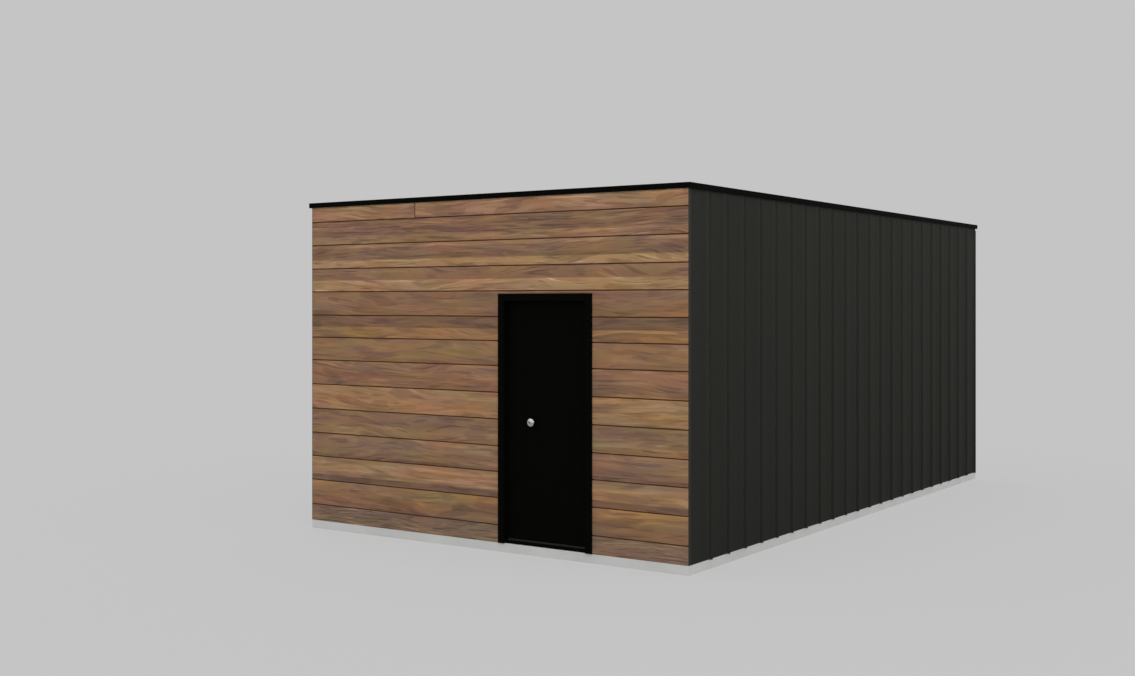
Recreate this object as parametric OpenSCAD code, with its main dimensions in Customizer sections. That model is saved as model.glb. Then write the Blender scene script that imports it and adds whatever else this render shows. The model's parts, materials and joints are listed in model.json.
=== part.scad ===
// A one-room modular home: a hollow box on a concrete plinth, with a boarded front, standing-seam
// metal on the other three sides, a flat roof sunk behind a black coping, and one inward-opening door.
// Millimetres. The origin is on the ground at the middle of the plinth, +X to the right as seen from
// the front, +Y to the rear and +Z up.

/* [Building] */
// Width of the front, over the cladding
body_w = 4000; // [2800:50:6000]
// Length from front to rear, over the cladding
body_l = 7000; // [3000:50:12000]
// Height from the ground to the top of the coping
body_h = 3020; // [2700:10:4200]
// Height of the concrete plinth
plinth_h = 75; // [40:5:200]
// Thickness of a wall, from the face of its cladding to the room
wall_t = 185; // [140:5:300]
// Thickness of the lining boards on walls and ceiling
lining_t = 15; // [9:1:25]
// Thickness of the floor laid on the plinth
floor_t = 25; // [12:1:35]

/* [Timber front] */
// Thickness of the boarding
board_t = 30; // [20:1:45]
// Width of the open joint between two boards
board_joint = 8; // [3:1:12]
// Depth of the open joint
board_joint_depth = 12; // [4:1:18]
// Height of the lowest board
starter_board = 150; // [80:5:250]

/* [Metal cladding] */
// Thickness of the sheet
sheet_t = 2; // [1:0.5:4]
// Distance from one standing seam to the next
seam_pitch = 300; // [200:10:600]
// Distance from the front corner to the first seam of a side wall
first_seam = 335; // [80:5:500]
// Height of a seam above the sheet
seam_h = 25; // [15:1:40]
// Width of the flange that is folded over at the top of a seam
seam_w = 12; // [8:1:20]
// Thickness of the folded layers of a seam
seam_t = 4; // [2:0.5:6]
// Width of the corner trims' legs
corner_leg = 40; // [20:5:60]

/* [Roof] */
// Height of the coping's outer face
coping_h = 45; // [35:5:120]
// Distance that the coping stands out from the walls
coping_out = 20; // [14:1:60]
// Thickness of the coping's sheet
coping_t = 3; // [2:0.5:5]
// Width of the hem folded in at the coping's lower edge
coping_hem = 10; // [6:1:12]
// Height of the coping's inner face
coping_inner_h = 40; // [30:5:60]
// Distance of the coping's inner face from the roof membrane
coping_in = 11; // [8:1:40]
// Fall of the coping's top, inwards, in millimetres to the metre
coping_fall = 20; // [0:5:60]
// Depth from the top of the coping to the roof's high edge
parapet_drop = 115; // [60:5:250]
// Fall of the roof from front to rear
roof_fall = 80; // [20:5:160]
// Thickness of the insulated roof panel at its low edge
roof_t = 205; // [120:5:300]
// Thickness of the roof membrane
membrane_t = 4; // [2:1:8]

/* [Door] */
// Width over the door frame
door_w = 940; // [750:10:1150]
// Height of the door frame above the plinth
door_h = 2095; // [1950:5:2250]
// Distance from the right-hand corner to the door frame
door_from_corner = 885; // [250:5:1200]
// Width of the frame's face
frame_face = 60; // [45:1:90]
// Distance that the frame stands out from the boarding
frame_proud = 10; // [0:1:30]
// Depth of the leaf's face behind the frame's face
leaf_recess = 55; // [40:1:80]
// Thickness of the leaf
leaf_t = 54; // [40:1:70]
// Width of the rebate that the leaf closes into
rebate_w = 17; // [12:1:25]
// Clearance all round the leaf
leaf_gap = 5; // [3:0.5:8]
// Narrowing of the leaf's closing edge from its inner to its outer face
edge_bevel = 3; // [2:0.5:6]
// Height of the threshold above the plinth
threshold_h = 40; // [30:1:60]
// Distance of the threshold's nose behind the frame's face
threshold_back = 27; // [10:1:35]

/* [Door furniture] */
// Height of the knobs above the plinth
knob_z = 1025; // [900:1:1200]
// Distance of the knobs from the leaf's closing edge
knob_in = 272; // [60:1:350]
// Diameter of a knob
knob_d = 68; // [50:1:90]
// Distance from the leaf to the face of a knob
knob_out = 40; // [40:1:80]
// Height of a hinge
hinge_h = 100; // [80:5:150]
// Diameter of a hinge's knuckles
knuckle_d = 14; // [12:1:16]
// Diameter of a hinge's pin
pin_d = 8; // [6:0.5:9]
// Distance of the top and bottom hinges from the ends of the leaf
hinge_from_end = 200; // [100:10:400]

/* [Hidden] */
$fn = 64;

// Face heights of the boards above the lowest one, which repeat up the wall: they were set out by eye.
board_faces = [228, 220, 217, 225, 225, 225, 210, 205, 215, 212, 218, 215];

half_w = body_w / 2;
half_l = body_l / 2;
// Inner faces of the wall cores, and of the room, measured from the middle.
core_t = wall_t - lining_t;
core_x = half_w - core_t;
core_y = half_l - core_t;
room_x = core_x - lining_t;
room_y = core_y - lining_t;

// Levels.
floor_z = plinth_h + floor_t;
roof_high_z = body_h - parapet_drop;
roof_low_z = roof_high_z - roof_fall;
ceiling_top = roof_low_z - roof_t;
ceiling_z = ceiling_top - lining_t;
// The cladding runs up behind the coping's outer face, and the seams stop just below it.
cladding_top = body_h - coping_t - 12;
seam_top = body_h - coping_h - 5;

// Coping, measured inwards from its outer face.
coping_w = coping_out + core_t + membrane_t + coping_in;
function coping_top(inwards) = body_h - coping_fall * inwards / 1000;
// Top of a wall core at a depth behind the wall's outer plane: it carries the coping.
function core_top(depth) = coping_top(coping_out + depth) - coping_t;
membrane_top = core_top(core_t + membrane_t);

// Door frame, and the opening for it.
door_x1 = half_w - door_from_corner;
door_x0 = door_x1 - door_w;
door_mid = (door_x0 + door_x1) / 2;
door_top = plinth_h + door_h;
frame_y = -half_l - frame_proud;
leaf_y = frame_y + leaf_recess;
stop_y = leaf_y - leaf_gap;
frame_back = leaf_y + leaf_t;
jamb_w = frame_face - rebate_w;
reveal_t = lining_t;

// Leaf.
leaf_x0 = door_x0 + jamb_w + leaf_gap;
leaf_x1 = door_x1 - jamb_w - leaf_gap;
leaf_z0 = plinth_h + threshold_h + leaf_gap;
leaf_z1 = door_top - jamb_w - leaf_gap;

// Hinges: the pin stands in line with the gap between leaf and jamb, just clear of their inner faces.
hinge_x = leaf_x1 + leaf_gap / 2;
hinge_clear = 1;
hinge_y = frame_back + knuckle_d / 2 + hinge_clear;
plate_gap = 0.6;
plate_t = (leaf_gap - plate_gap) / 2;
plate_depth = 38;
pin_clear = 0.3;
knuckles = 5;
knuckle_gap = 0.5;
hinge_heights = [
    leaf_z0 + hinge_from_end,
    (leaf_z0 + leaf_z1 - hinge_h) / 2,
    leaf_z1 - hinge_from_end - hinge_h,
];

// Knob.
knob_x = leaf_x0 + knob_in;

// A block between two opposite corners.
module span(lo, hi) {
    translate(lo) cube(hi - lo);
}

// An outline of points [y, z], drawn out along X from x0 to x1.
module along_x(x0, x1) {
    translate([x0, 0, 0]) rotate([90, 0, 90]) linear_extrude(x1 - x0) children();
}

// An outline of points [x, y], drawn out along Z from z0 to z1.
module along_z(z0, z1) {
    translate([0, 0, z0]) linear_extrude(z1 - z0) children();
}

// Each wall is drawn with its outer plane at y = 0, along X, with the room towards +Y, and put in its place.
module at_front() {
    translate([0, -half_l, 0]) children();
}

module at_rear() {
    mirror([0, 1, 0]) at_front() children();
}

module at_right() {
    translate([half_w, 0, 0]) rotate([0, 0, 90]) children();
}

module at_left() {
    mirror([1, 0, 0]) at_right() children();
}

// ---------------------------------------------------------------- base and walls

module base_slab() {
    color("gainsboro") span([-half_w, -half_l, 0], [half_w, half_l, plinth_h]);
}

// The floor fills the room and reaches into the doorway, up to the threshold.
module floor_deck() {
    color("burlywood") {
        span([-room_x, -room_y, plinth_h], [room_x, room_y, floor_z]);
        span([door_x0 + reveal_t, frame_back, plinth_h], [door_x1 - reveal_t, -room_y, floor_z]);
    }
}

// Core of a wall from x0 to x1, behind cladding of the given thickness, with its top under the coping.
module wall_core(x0, x1, cladding_t, z0 = plinth_h) {
    color("tan") along_x(x0, x1) polygon([
        [cladding_t, z0],
        [core_t, z0],
        [core_t, core_top(core_t)],
        [cladding_t, core_top(cladding_t)],
    ]);
}

// The front wall stands between the side walls, in one piece on each side of the doorway and one over it.
module front_wall_left() {
    at_front() wall_core(-core_x, door_x0, board_t);
}

module front_wall_right() {
    at_front() wall_core(door_x1, core_x, board_t);
}

module front_wall_over_door() {
    at_front() wall_core(door_x0, door_x1, board_t, door_top);
}

// A side wall's front end stands back by a sheet's thickness, which leaves room for the corner trim.
module right_wall() {
    at_right() wall_core(-half_l + board_t + sheet_t, half_l - sheet_t, sheet_t);
}

module left_wall() {
    mirror([1, 0, 0]) right_wall();
}

module rear_wall() {
    at_rear() wall_core(-core_x, core_x, sheet_t);
}

// ---------------------------------------------------------------- timber front

// Height of the joint above board n, counting the lowest as 0.
function joint_z(n) =
    n == 0 ? plinth_h + starter_board : joint_z(n - 1) + board_faces[(n - 1) % len(board_faces)];

// All joints up to the top of the cladding.
function joints(n = 0) =
    joint_z(n) > cladding_top - board_joint ? [] : concat([joint_z(n)], joints(n + 1));

// Boarding between two edges, with an open joint over each board.
module boarding(x0, x1, z0 = plinth_h) {
    color("sienna") at_front() along_x(x0, x1) difference() {
        translate([0, z0]) square([board_t, cladding_top - z0]);
        for (z = joints()) if (z > z0 + board_joint)
            translate([0, z - board_joint / 2]) square([board_joint_depth, board_joint]);
    }
}

module front_boarding_left() {
    boarding(-half_w + sheet_t, door_x0);
}

module front_boarding_right() {
    boarding(door_x1, half_w - sheet_t);
}

module front_boarding_over_door() {
    boarding(door_x0, door_x1, door_top);
}

// ---------------------------------------------------------------- metal cladding

// Outline of one angled standing seam at x = c: a folded stem, and a flange turned over at its top.
function seam_outline(c) = [
    [c - seam_w / 2, 0],
    [c - seam_w / 2, -seam_h],
    [c + seam_w / 2, -seam_h],
    [c + seam_w / 2, -seam_h + seam_t],
    [c - seam_w / 2 + seam_t, -seam_h + seam_t],
    [c - seam_w / 2 + seam_t, 0],
];

// Seamed sheet that runs along X from 0 in a wall's place. The seams are cut off at a slant at the top.
module seamed_sheet(length, seams) {
    outline = concat(
        [[0, 0]],
        [for (c = seams) each seam_outline(c)],
        [[length, 0], [length, sheet_t], [0, sheet_t]]
    );
    color("darkslategray") {
        difference() {
            along_z(plinth_h, seam_top) polygon(outline);
            along_x(-1, length + 1) polygon([
                [0, seam_top],
                [-seam_h - 1, seam_top - seam_h - 1],
                [-seam_h - 1, seam_top + 1],
                [0, seam_top + 1],
            ]);
        }
        along_z(seam_top, cladding_top) square([length, sheet_t]);
    }
}

// Seams of a side wall are set out from the front corner, as far as the rear corner trim.
side_run = body_l - 2 * corner_leg;
side_seams = [for (c = [first_seam - corner_leg : seam_pitch : side_run - seam_w]) if (c > seam_w) c];
// Seams of the rear wall are set out from its middle.
rear_run = body_w - 2 * corner_leg;
rear_half = floor((rear_run / 2 - seam_w) / seam_pitch);
rear_seams = [for (n = [-rear_half : rear_half]) rear_run / 2 + n * seam_pitch];

module right_metal_cladding() {
    at_right() translate([-half_l + corner_leg, 0, 0]) seamed_sheet(side_run, side_seams);
}

module left_metal_cladding() {
    mirror([1, 0, 0]) right_metal_cladding();
}

module rear_metal_cladding() {
    at_rear() translate([-half_w + corner_leg, 0, 0]) seamed_sheet(rear_run, rear_seams);
}

// An angle: its outer leg covers the boards' ends and meets the metal side, and its inner leg is held
// behind the boards.
module front_right_corner_trim() {
    board_back = -half_l + board_t;
    color("darkslategray") along_z(plinth_h, cladding_top) polygon([
        [half_w, -half_l],
        [half_w, -half_l + corner_leg],
        [half_w - sheet_t, -half_l + corner_leg],
        [half_w - sheet_t, board_back + sheet_t],
        [half_w - corner_leg, board_back + sheet_t],
        [half_w - corner_leg, board_back],
        [half_w - sheet_t, board_back],
        [half_w - sheet_t, -half_l],
    ]);
}

module front_left_corner_trim() {
    mirror([1, 0, 0]) front_right_corner_trim();
}

module rear_right_corner_trim() {
    color("darkslategray") along_z(plinth_h, cladding_top) polygon([
        [half_w, half_l - corner_leg],
        [half_w, half_l],
        [half_w - corner_leg, half_l],
        [half_w - corner_leg, half_l - sheet_t],
        [half_w - sheet_t, half_l - sheet_t],
        [half_w - sheet_t, half_l - corner_leg],
    ]);
}

module rear_left_corner_trim() {
    mirror([1, 0, 0]) rear_right_corner_trim();
}

// ---------------------------------------------------------------- linings

// Lining of the front wall beside the doorway, with a return along the reveal up to the door frame.
// It runs from x_far to the doorway's edge x_door, and toward is the way from there into the doorway.
module front_lining(x_far, x_door, toward) {
    x_return = x_door + toward * reveal_t;
    color("white") {
        span([min(x_far, x_return), -core_y, plinth_h], [max(x_far, x_return), -room_y, ceiling_z]);
        span([min(x_door, x_return), frame_back, plinth_h], [max(x_door, x_return), -core_y, door_top]);
    }
}

module front_lining_left() {
    front_lining(-core_x, door_x0, 1);
}

module front_lining_right() {
    front_lining(core_x, door_x1, -1);
}

module front_lining_over_door() {
    color("white") {
        span([door_x0 + reveal_t, -core_y, door_top - reveal_t],
             [door_x1 - reveal_t, -room_y, ceiling_z]);
        span([door_x0 + reveal_t, frame_back, door_top - reveal_t],
             [door_x1 - reveal_t, -core_y, door_top]);
    }
}

module right_lining() {
    color("white") span([room_x, -room_y, plinth_h], [core_x, room_y, ceiling_z]);
}

module left_lining() {
    mirror([1, 0, 0]) right_lining();
}

module rear_lining() {
    color("white") span([-core_x, room_y, plinth_h], [core_x, core_y, ceiling_z]);
}

module ceiling_lining() {
    color("white") span([-core_x, -core_y, ceiling_z], [core_x, core_y, ceiling_top]);
}

// ---------------------------------------------------------------- roof

module roof_panel() {
    color("tan") along_x(-core_x, core_x) polygon([
        [-core_y, ceiling_top],
        [core_y, ceiling_top],
        [core_y, roof_low_z],
        [-core_y, roof_high_z],
    ]);
}

outlet_d = 110;
outlet_from_edge = 220;
outlet_x = -core_x + outlet_from_edge;
outlet_y = core_y - outlet_from_edge;
roof_slope = atan2(roof_fall, 2 * core_y);
// Level of the membrane's top at the outlet.
outlet_z = roof_low_z + membrane_t + outlet_from_edge * tan(roof_slope);

// A tray: it lies on the roof panel and turns up against the four walls.
module roof_membrane() {
    color("dimgray") difference() {
        along_x(-core_x, core_x) polygon([
            [-core_y, roof_high_z],
            [core_y, roof_low_z],
            [core_y, membrane_top],
            [-core_y, membrane_top],
        ]);
        along_x(-core_x + membrane_t, core_x - membrane_t) polygon([
            [-core_y + membrane_t, roof_high_z + membrane_t],
            [core_y - membrane_t, roof_low_z + membrane_t],
            [core_y - membrane_t, body_h],
            [-core_y + membrane_t, body_h],
        ]);
    }
}

// Domed leaf guard over the rainwater outlet at the low edge.
module roof_outlet() {
    flange_t = 3;
    dome_r = outlet_d / 2;
    slots = 10;
    color("silver") translate([outlet_x, outlet_y, outlet_z]) rotate([-roof_slope, 0, 0]) {
        difference() {
            union() {
                cylinder(r = dome_r + 25, h = flange_t);
                intersection() {
                    sphere(r = dome_r);
                    cylinder(r = outlet_d, h = outlet_d);
                }
            }
            translate([0, 0, -1]) cylinder(r = dome_r - 12, h = 1 + flange_t + 3);
            for (n = [0 : slots - 1]) rotate([0, 0, n * 360 / slots])
                translate([dome_r - 26, -3, flange_t + 6]) cube([40, 6, 24]);
        }
    }
}

// Section of the coping, with its outer face at 0: a hemmed outer leg, a top that falls inwards, and an inner leg.
module coping_section() {
    low = body_h - coping_h;
    inner_low = body_h - coping_inner_h;
    inner = coping_w - coping_t;
    polygon([
        [0, low],
        [0, coping_top(0)],
        [coping_w, coping_top(coping_w)],
        [coping_w, inner_low],
        [inner, inner_low],
        [inner, coping_top(inner) - coping_t],
        [coping_t, coping_top(coping_t) - coping_t],
        [coping_t, low + coping_t],
        [coping_hem, low + coping_t],
        [coping_hem, low],
    ]);
}

// Coping along a whole wall of the given length, cut to a mitre at both ends.
module coping_length(wall_length) {
    far = wall_length / 2 + coping_out;
    color("black") translate([0, -coping_out, 0]) intersection() {
        along_x(-far, far) coping_section();
        along_z(body_h - coping_h - 1, body_h + 1) polygon([
            [-far, 0],
            [far, 0],
            [far - coping_w, coping_w],
            [-far + coping_w, coping_w],
        ]);
    }
}

module front_coping() {
    at_front() coping_length(body_w);
}

module rear_coping() {
    at_rear() coping_length(body_w);
}

module right_coping() {
    at_right() coping_length(body_l);
}

module left_coping() {
    at_left() coping_length(body_l);
}

// ---------------------------------------------------------------- door frame

// Section of the frame, with its outer side at 0 and its face at frame_y: a stop, and behind it the rebate.
module frame_section() {
    polygon([
        [0, frame_y],
        [frame_face, frame_y],
        [frame_face, stop_y],
        [jamb_w, stop_y],
        [jamb_w, frame_back],
        [0, frame_back],
    ]);
}

module door_jamb_left() {
    color("black") translate([door_x0, 0, 0]) intersection() {
        along_z(plinth_h, door_top) frame_section();
        translate([0, frame_back + 1, 0]) rotate([90, 0, 0]) linear_extrude(frame_back - frame_y + 2)
            polygon([
                [0, plinth_h],
                [frame_face, plinth_h],
                [frame_face, door_top - frame_face],
                [0, door_top],
            ]);
    }
}

module door_jamb_right() {
    translate([2 * door_mid, 0, 0]) mirror([1, 0, 0]) door_jamb_left();
}

module door_head() {
    color("black") intersection() {
        translate([door_x0, 0, door_top]) rotate([0, 90, 0]) linear_extrude(door_w) frame_section();
        translate([door_x0, frame_back + 1, 0]) rotate([90, 0, 0]) linear_extrude(frame_back - frame_y + 2)
            polygon([
                [0, door_top],
                [frame_face, door_top - frame_face],
                [door_w - frame_face, door_top - frame_face],
                [door_w, door_top],
            ]);
    }
}

// A sloped nose between the stops, and a flat part between the rebates that the leaf passes over.
module door_threshold() {
    top = plinth_h + threshold_h;
    nose_y = frame_y + threshold_back;
    nose_drop = 8;
    color("black") {
        along_x(door_x0 + frame_face, door_x1 - frame_face) polygon([
            [nose_y, plinth_h],
            [nose_y, top - nose_drop],
            [stop_y, top],
            [stop_y, plinth_h],
        ]);
        span([door_x0 + jamb_w, stop_y, plinth_h], [door_x1 - jamb_w, frame_back, top]);
    }
}

// ---------------------------------------------------------------- hinges

// Height of knuckle n of a hinge, and of its gap to the next.
knuckle_h = (hinge_h - (knuckles - 1) * knuckle_gap) / knuckles;
function knuckle_z(n) = n * (knuckle_h + knuckle_gap);

// One half of a hinge, standing on z = 0 with the pin on the Z axis. It has a flat plate on the side
// given by side, which is 1 for the frame's half and -1 for the leaf's, and the knuckles listed in own.
module hinge_half(side, own, bore_d) {
    plate_y = -knuckle_d / 2 - hinge_clear - plate_gap;
    x0 = side > 0 ? plate_gap / 2 : -plate_gap / 2 - plate_t;
    difference() {
        union() {
            translate([x0, plate_y - plate_depth, 0]) cube([plate_t, plate_depth, hinge_h]);
            for (n = own) translate([0, 0, knuckle_z(n)]) {
                cylinder(d = knuckle_d, h = knuckle_h);
                translate([x0, plate_y - 1, 0]) cube([plate_t, 1 - plate_y, knuckle_h]);
            }
        }
        translate([0, 0, -1]) cylinder(d = bore_d, h = hinge_h + 2);
    }
}

module hinge_frame_plates() {
    color("dimgray") for (z = hinge_heights)
        translate([hinge_x, hinge_y, z]) hinge_half(1, [0, 2, 4], pin_d + pin_clear);
}

module hinge_leaf_plates() {
    color("dimgray") for (z = hinge_heights)
        translate([hinge_x, hinge_y, z]) hinge_half(-1, [1, 3], pin_d + 2 * pin_clear);
}

// Pins, with a head on the top and the bottom knuckle.
module hinge_pins() {
    head_h = 3;
    head_d = knuckle_d - 2;
    color("silver") for (z = hinge_heights) translate([hinge_x, hinge_y, z]) {
        translate([0, 0, -head_h]) cylinder(d = head_d, h = head_h);
        translate([0, 0, -head_h]) cylinder(d = pin_d, h = hinge_h + 2 * head_h);
        translate([0, 0, hinge_h]) cylinder(d = head_d, h = head_h);
    }
}

// ---------------------------------------------------------------- door leaf

// The closing edge is bevelled, so that it swings clear of the rebate.
module door_leaf() {
    color("black") along_z(leaf_z0, leaf_z1) polygon([
        [leaf_x0 + edge_bevel, leaf_y],
        [leaf_x1, leaf_y],
        [leaf_x1, leaf_y + leaf_t],
        [leaf_x0, leaf_y + leaf_t],
    ]);
}

// A mushroom knob on a round rose, standing along +Z.
module knob() {
    rose_d = 40;
    rose_h = 6;
    stem_d = 22;
    edge_r = 5;
    dome_h = 7;
    flat_r = knob_d / 2 - edge_r;
    dome_r = (flat_r * flat_r + dome_h * dome_h) / (2 * dome_h);
    face_h = knob_out - dome_h;
    color("silver") rotate_extrude() {
        square([rose_d / 2, rose_h]);
        square([stem_d / 2, face_h]);
        translate([0, face_h - 2 * edge_r]) square([flat_r, 2 * edge_r]);
        translate([flat_r, face_h - edge_r]) circle(r = edge_r);
        intersection() {
            translate([0, knob_out - dome_r]) circle(r = dome_r);
            translate([0, face_h - 1]) square([flat_r, dome_h + 2]);
        }
    }
}

module outer_knob() {
    translate([knob_x, leaf_y, plinth_h + knob_z]) rotate([90, 0, 0]) knob();
}

module inner_knob() {
    translate([knob_x, leaf_y + leaf_t, plinth_h + knob_z]) rotate([-90, 0, 0]) knob();
}

base_slab();
floor_deck();
front_wall_left();
front_wall_right();
front_wall_over_door();
right_wall();
left_wall();
rear_wall();
front_boarding_left();
front_boarding_right();
front_boarding_over_door();
right_metal_cladding();
left_metal_cladding();
rear_metal_cladding();
front_right_corner_trim();
front_left_corner_trim();
rear_right_corner_trim();
rear_left_corner_trim();
front_lining_left();
front_lining_right();
front_lining_over_door();
right_lining();
left_lining();
rear_lining();
ceiling_lining();
roof_panel();
roof_membrane();
roof_outlet();
front_coping();
rear_coping();
right_coping();
left_coping();
door_jamb_left();
door_jamb_right();
door_head();
door_threshold();
hinge_frame_plates();
hinge_pins();
door_leaf();
hinge_leaf_plates();
outer_knob();
inner_knob();
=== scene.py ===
import json
import math
import random

import bmesh
import bpy
from bpy.props import FloatProperty, FloatVectorProperty, IntProperty, PointerProperty
from mathutils import Matrix, Quaternion, Vector


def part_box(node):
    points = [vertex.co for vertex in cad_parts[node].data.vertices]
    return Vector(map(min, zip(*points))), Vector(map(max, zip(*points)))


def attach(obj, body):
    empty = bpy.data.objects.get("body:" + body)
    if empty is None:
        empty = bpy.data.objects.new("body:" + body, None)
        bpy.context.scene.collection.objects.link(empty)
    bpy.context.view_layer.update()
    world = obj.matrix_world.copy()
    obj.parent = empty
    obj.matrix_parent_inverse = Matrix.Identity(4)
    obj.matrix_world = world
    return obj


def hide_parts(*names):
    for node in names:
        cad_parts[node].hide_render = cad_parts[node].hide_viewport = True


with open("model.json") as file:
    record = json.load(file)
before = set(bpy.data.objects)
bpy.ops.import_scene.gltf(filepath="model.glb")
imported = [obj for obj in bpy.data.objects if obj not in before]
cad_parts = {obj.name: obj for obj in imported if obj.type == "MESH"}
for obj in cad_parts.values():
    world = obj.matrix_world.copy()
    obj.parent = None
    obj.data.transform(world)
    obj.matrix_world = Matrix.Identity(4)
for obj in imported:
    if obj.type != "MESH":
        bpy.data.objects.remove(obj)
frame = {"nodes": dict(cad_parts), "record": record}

bl_info = {
    "name": "Modular home finishes",
    "version": (1, 0, 0),
    "blender": (4, 5, 0),
    "location": "View3D > Sidebar > Home",
    "description": "Boards, door furniture, floor, fixings, finishes and a stage for a timber and metal home",
    "category": "Object",
}

MM = 0.001
NODES = frame["nodes"]
BUILDING = "building"
DOOR = "door"
# Edges that turn by more than this are drawn sharp.
SHARP = math.radians(35)
MATH = "ShaderNodeMath"
VECTOR = "ShaderNodeVectorMath"
SPLIT = "ShaderNodeSeparateXYZ"
NOISE = "ShaderNodeTexNoise"
RAMP = "ShaderNodeValToRGB"
RANGE = "ShaderNodeMapRange"
BUMP = "ShaderNodeBump"


def linear(code):
    """Turns an sRGB hex colour into linear red, green and blue."""
    channels = [int(code[i:i + 2], 16) / 255 for i in (1, 3, 5)]
    return tuple(c / 12.92 if c <= 0.04045 else ((c + 0.055) / 1.055) ** 2.4 for c in channels)


def opaque(colour):
    """A colour with full alpha, as sockets take it."""
    return (*colour[:3], 1.0)


# ---------------------------------------------------------------- settings

class TimberSettings(bpy.types.PropertyGroup):
    thickness: FloatProperty(name="Thickness", description="Thickness of a board",
                             default=26 * MM, unit="LENGTH")
    easing: FloatProperty(name="Eased edge", description="Rounding of a board's edges",
                          default=3 * MM, unit="LENGTH")
    butt_at: FloatProperty(name="Butt joint", description="Place of the top board's butt joint along X",
                           default=-0.75, unit="LENGTH")
    butt_gap: FloatProperty(name="Butt gap", description="Width of the butt joint",
                            default=9.5 * MM, unit="LENGTH")
    gap_depth: FloatProperty(name="Gap depth", description="Depth of the open joints, down to the tongues",
                             default=12 * MM, unit="LENGTH")
    ring: FloatProperty(name="Growth ring", description="Width of a growth ring in the boards",
                        default=26 * MM, unit="LENGTH")
    seed: IntProperty(name="Seed", description="Which boards were picked from the pile", default=7)
    plum: FloatVectorProperty(name="Plum", description="Darkest heartwood",
                              default=linear("#5b453a"), subtype="COLOR")
    umber: FloatVectorProperty(name="Umber", description="Dark heartwood",
                               default=linear("#765946"), subtype="COLOR")
    heart: FloatVectorProperty(name="Heart", description="Common heartwood",
                               default=linear("#806249"), subtype="COLOR")
    honey: FloatVectorProperty(name="Honey", description="Light heartwood",
                               default=linear("#8a6a4c"), subtype="COLOR")
    straw: FloatVectorProperty(name="Straw", description="Palest wood, near the sapwood",
                               default=linear("#a58462"), subtype="COLOR")
    cream: FloatVectorProperty(name="Cream", description="Sapwood",
                               default=linear("#c39e78"), subtype="COLOR")


class MetalSettings(bpy.types.PropertyGroup):
    charcoal: FloatVectorProperty(name="Charcoal", description="Colour of the seamed sheet",
                                  default=linear("#232420"), subtype="COLOR")
    black: FloatVectorProperty(name="Black", description="Colour of the coping",
                               default=linear("#070706"), subtype="COLOR")
    door: FloatVectorProperty(name="Door", description="Colour of the door and its frame",
                              default=linear("#060605"), subtype="COLOR")
    ripple: FloatProperty(name="Ripple", description="Height of the slow waves in the seamed sheet",
                          default=0.6 * MM, unit="LENGTH")


class KnobSettings(bpy.types.PropertyGroup):
    rose: FloatProperty(name="Rose", description="Diameter of the rose", default=40 * MM, unit="LENGTH")
    neck: FloatProperty(name="Neck", description="Diameter of the neck", default=21 * MM, unit="LENGTH")
    rim: FloatProperty(name="Rim", description="Thickness of the head at its rim",
                       default=9 * MM, unit="LENGTH")
    dome: FloatProperty(name="Dome", description="Height of the head's domed face",
                        default=7 * MM, unit="LENGTH")
    plug: FloatProperty(name="Plug", description="Diameter of the key cylinder's plug",
                        default=22 * MM, unit="LENGTH")


class FloorSettings(bpy.types.PropertyGroup):
    plank_w: FloatProperty(name="Plank width", description="Width of a floor plank",
                           default=142 * MM, unit="LENGTH")
    plank_l: FloatProperty(name="Plank length", description="Length of a floor plank",
                           default=2.2, unit="LENGTH")
    gap: FloatProperty(name="Gap", description="Gap between two planks", default=1 * MM, unit="LENGTH")
    chamfer: FloatProperty(name="Chamfer", description="Chamfer along a plank's upper edges",
                           default=1.5 * MM, unit="LENGTH")
    seed: IntProperty(name="Seed", description="Order of the planks", default=3)


class FixingSettings(bpy.types.PropertyGroup):
    coping_pitch: FloatProperty(name="Coping screws", description="Distance between two screws of a coping",
                                default=0.5, unit="LENGTH")
    lap_pitch: FloatProperty(name="Membrane width", description="Distance between two laps of the membrane",
                             default=1.35, unit="LENGTH")
    lap: FloatProperty(name="Lap", description="Width of a lap of the membrane",
                       default=60 * MM, unit="LENGTH")
    seal: FloatProperty(name="Seal", description="Diameter of the door seal", default=4.4 * MM, unit="LENGTH")


class StageSettings(bpy.types.PropertyGroup):
    backdrop: FloatVectorProperty(name="Backdrop", description="Colour of the floor and the backdrop",
                                  default=linear("#c5c5c5"), subtype="COLOR")
    even: FloatProperty(name="Even light", description="Strength of the even light from all sides",
                        default=0.60)
    front: FloatProperty(name="Front light", description="Strength of the broad light before the home",
                         default=1.75)
    side: FloatProperty(name="Side light", description="Strength of the broad light right of the home",
                        default=1.3)
    rear: FloatProperty(name="Rear light", description="Strength of the broad light behind the home",
                        default=1.4)
    eye: FloatVectorProperty(name="Eye", description="Place of the camera",
                             default=(7.085, -12.635, 2.095), subtype="TRANSLATION", unit="LENGTH")
    heading: FloatProperty(name="Heading", description="Turn of the level camera, from straight at the front",
                           default=math.radians(34.2), subtype="ANGLE")
    lens: FloatProperty(name="Lens", description="Focal length in millimetres", default=43.09)
    shift: FloatProperty(name="Shift", description="Rise of the lens, as a share of the frame's width",
                         default=-0.0311)


# ---------------------------------------------------------------- helpers

def add(tree, kind, inputs=None, stops=None, into=None, **settings):
    """Adds a node with its settings, the values or links of its inputs, the stops of its ramp, and a link
    from its first output into a socket."""
    node = tree.nodes.new(kind)
    for name, value in settings.items():
        setattr(node, name, value)
    for key, value in (inputs or {}).items():
        if isinstance(value, bpy.types.NodeSocket):
            tree.links.new(value, node.inputs[key])
        else:
            node.inputs[key].default_value = value
    if stops:
        ramp = node.color_ramp
        while len(ramp.elements) < len(stops):
            ramp.elements.new(0.5)
        for element, (place, colour) in zip(ramp.elements, stops):
            element.position = place
            element.color = opaque(colour)
    if into is not None:
        tree.links.new(node.outputs[0], into)
    return node


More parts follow.
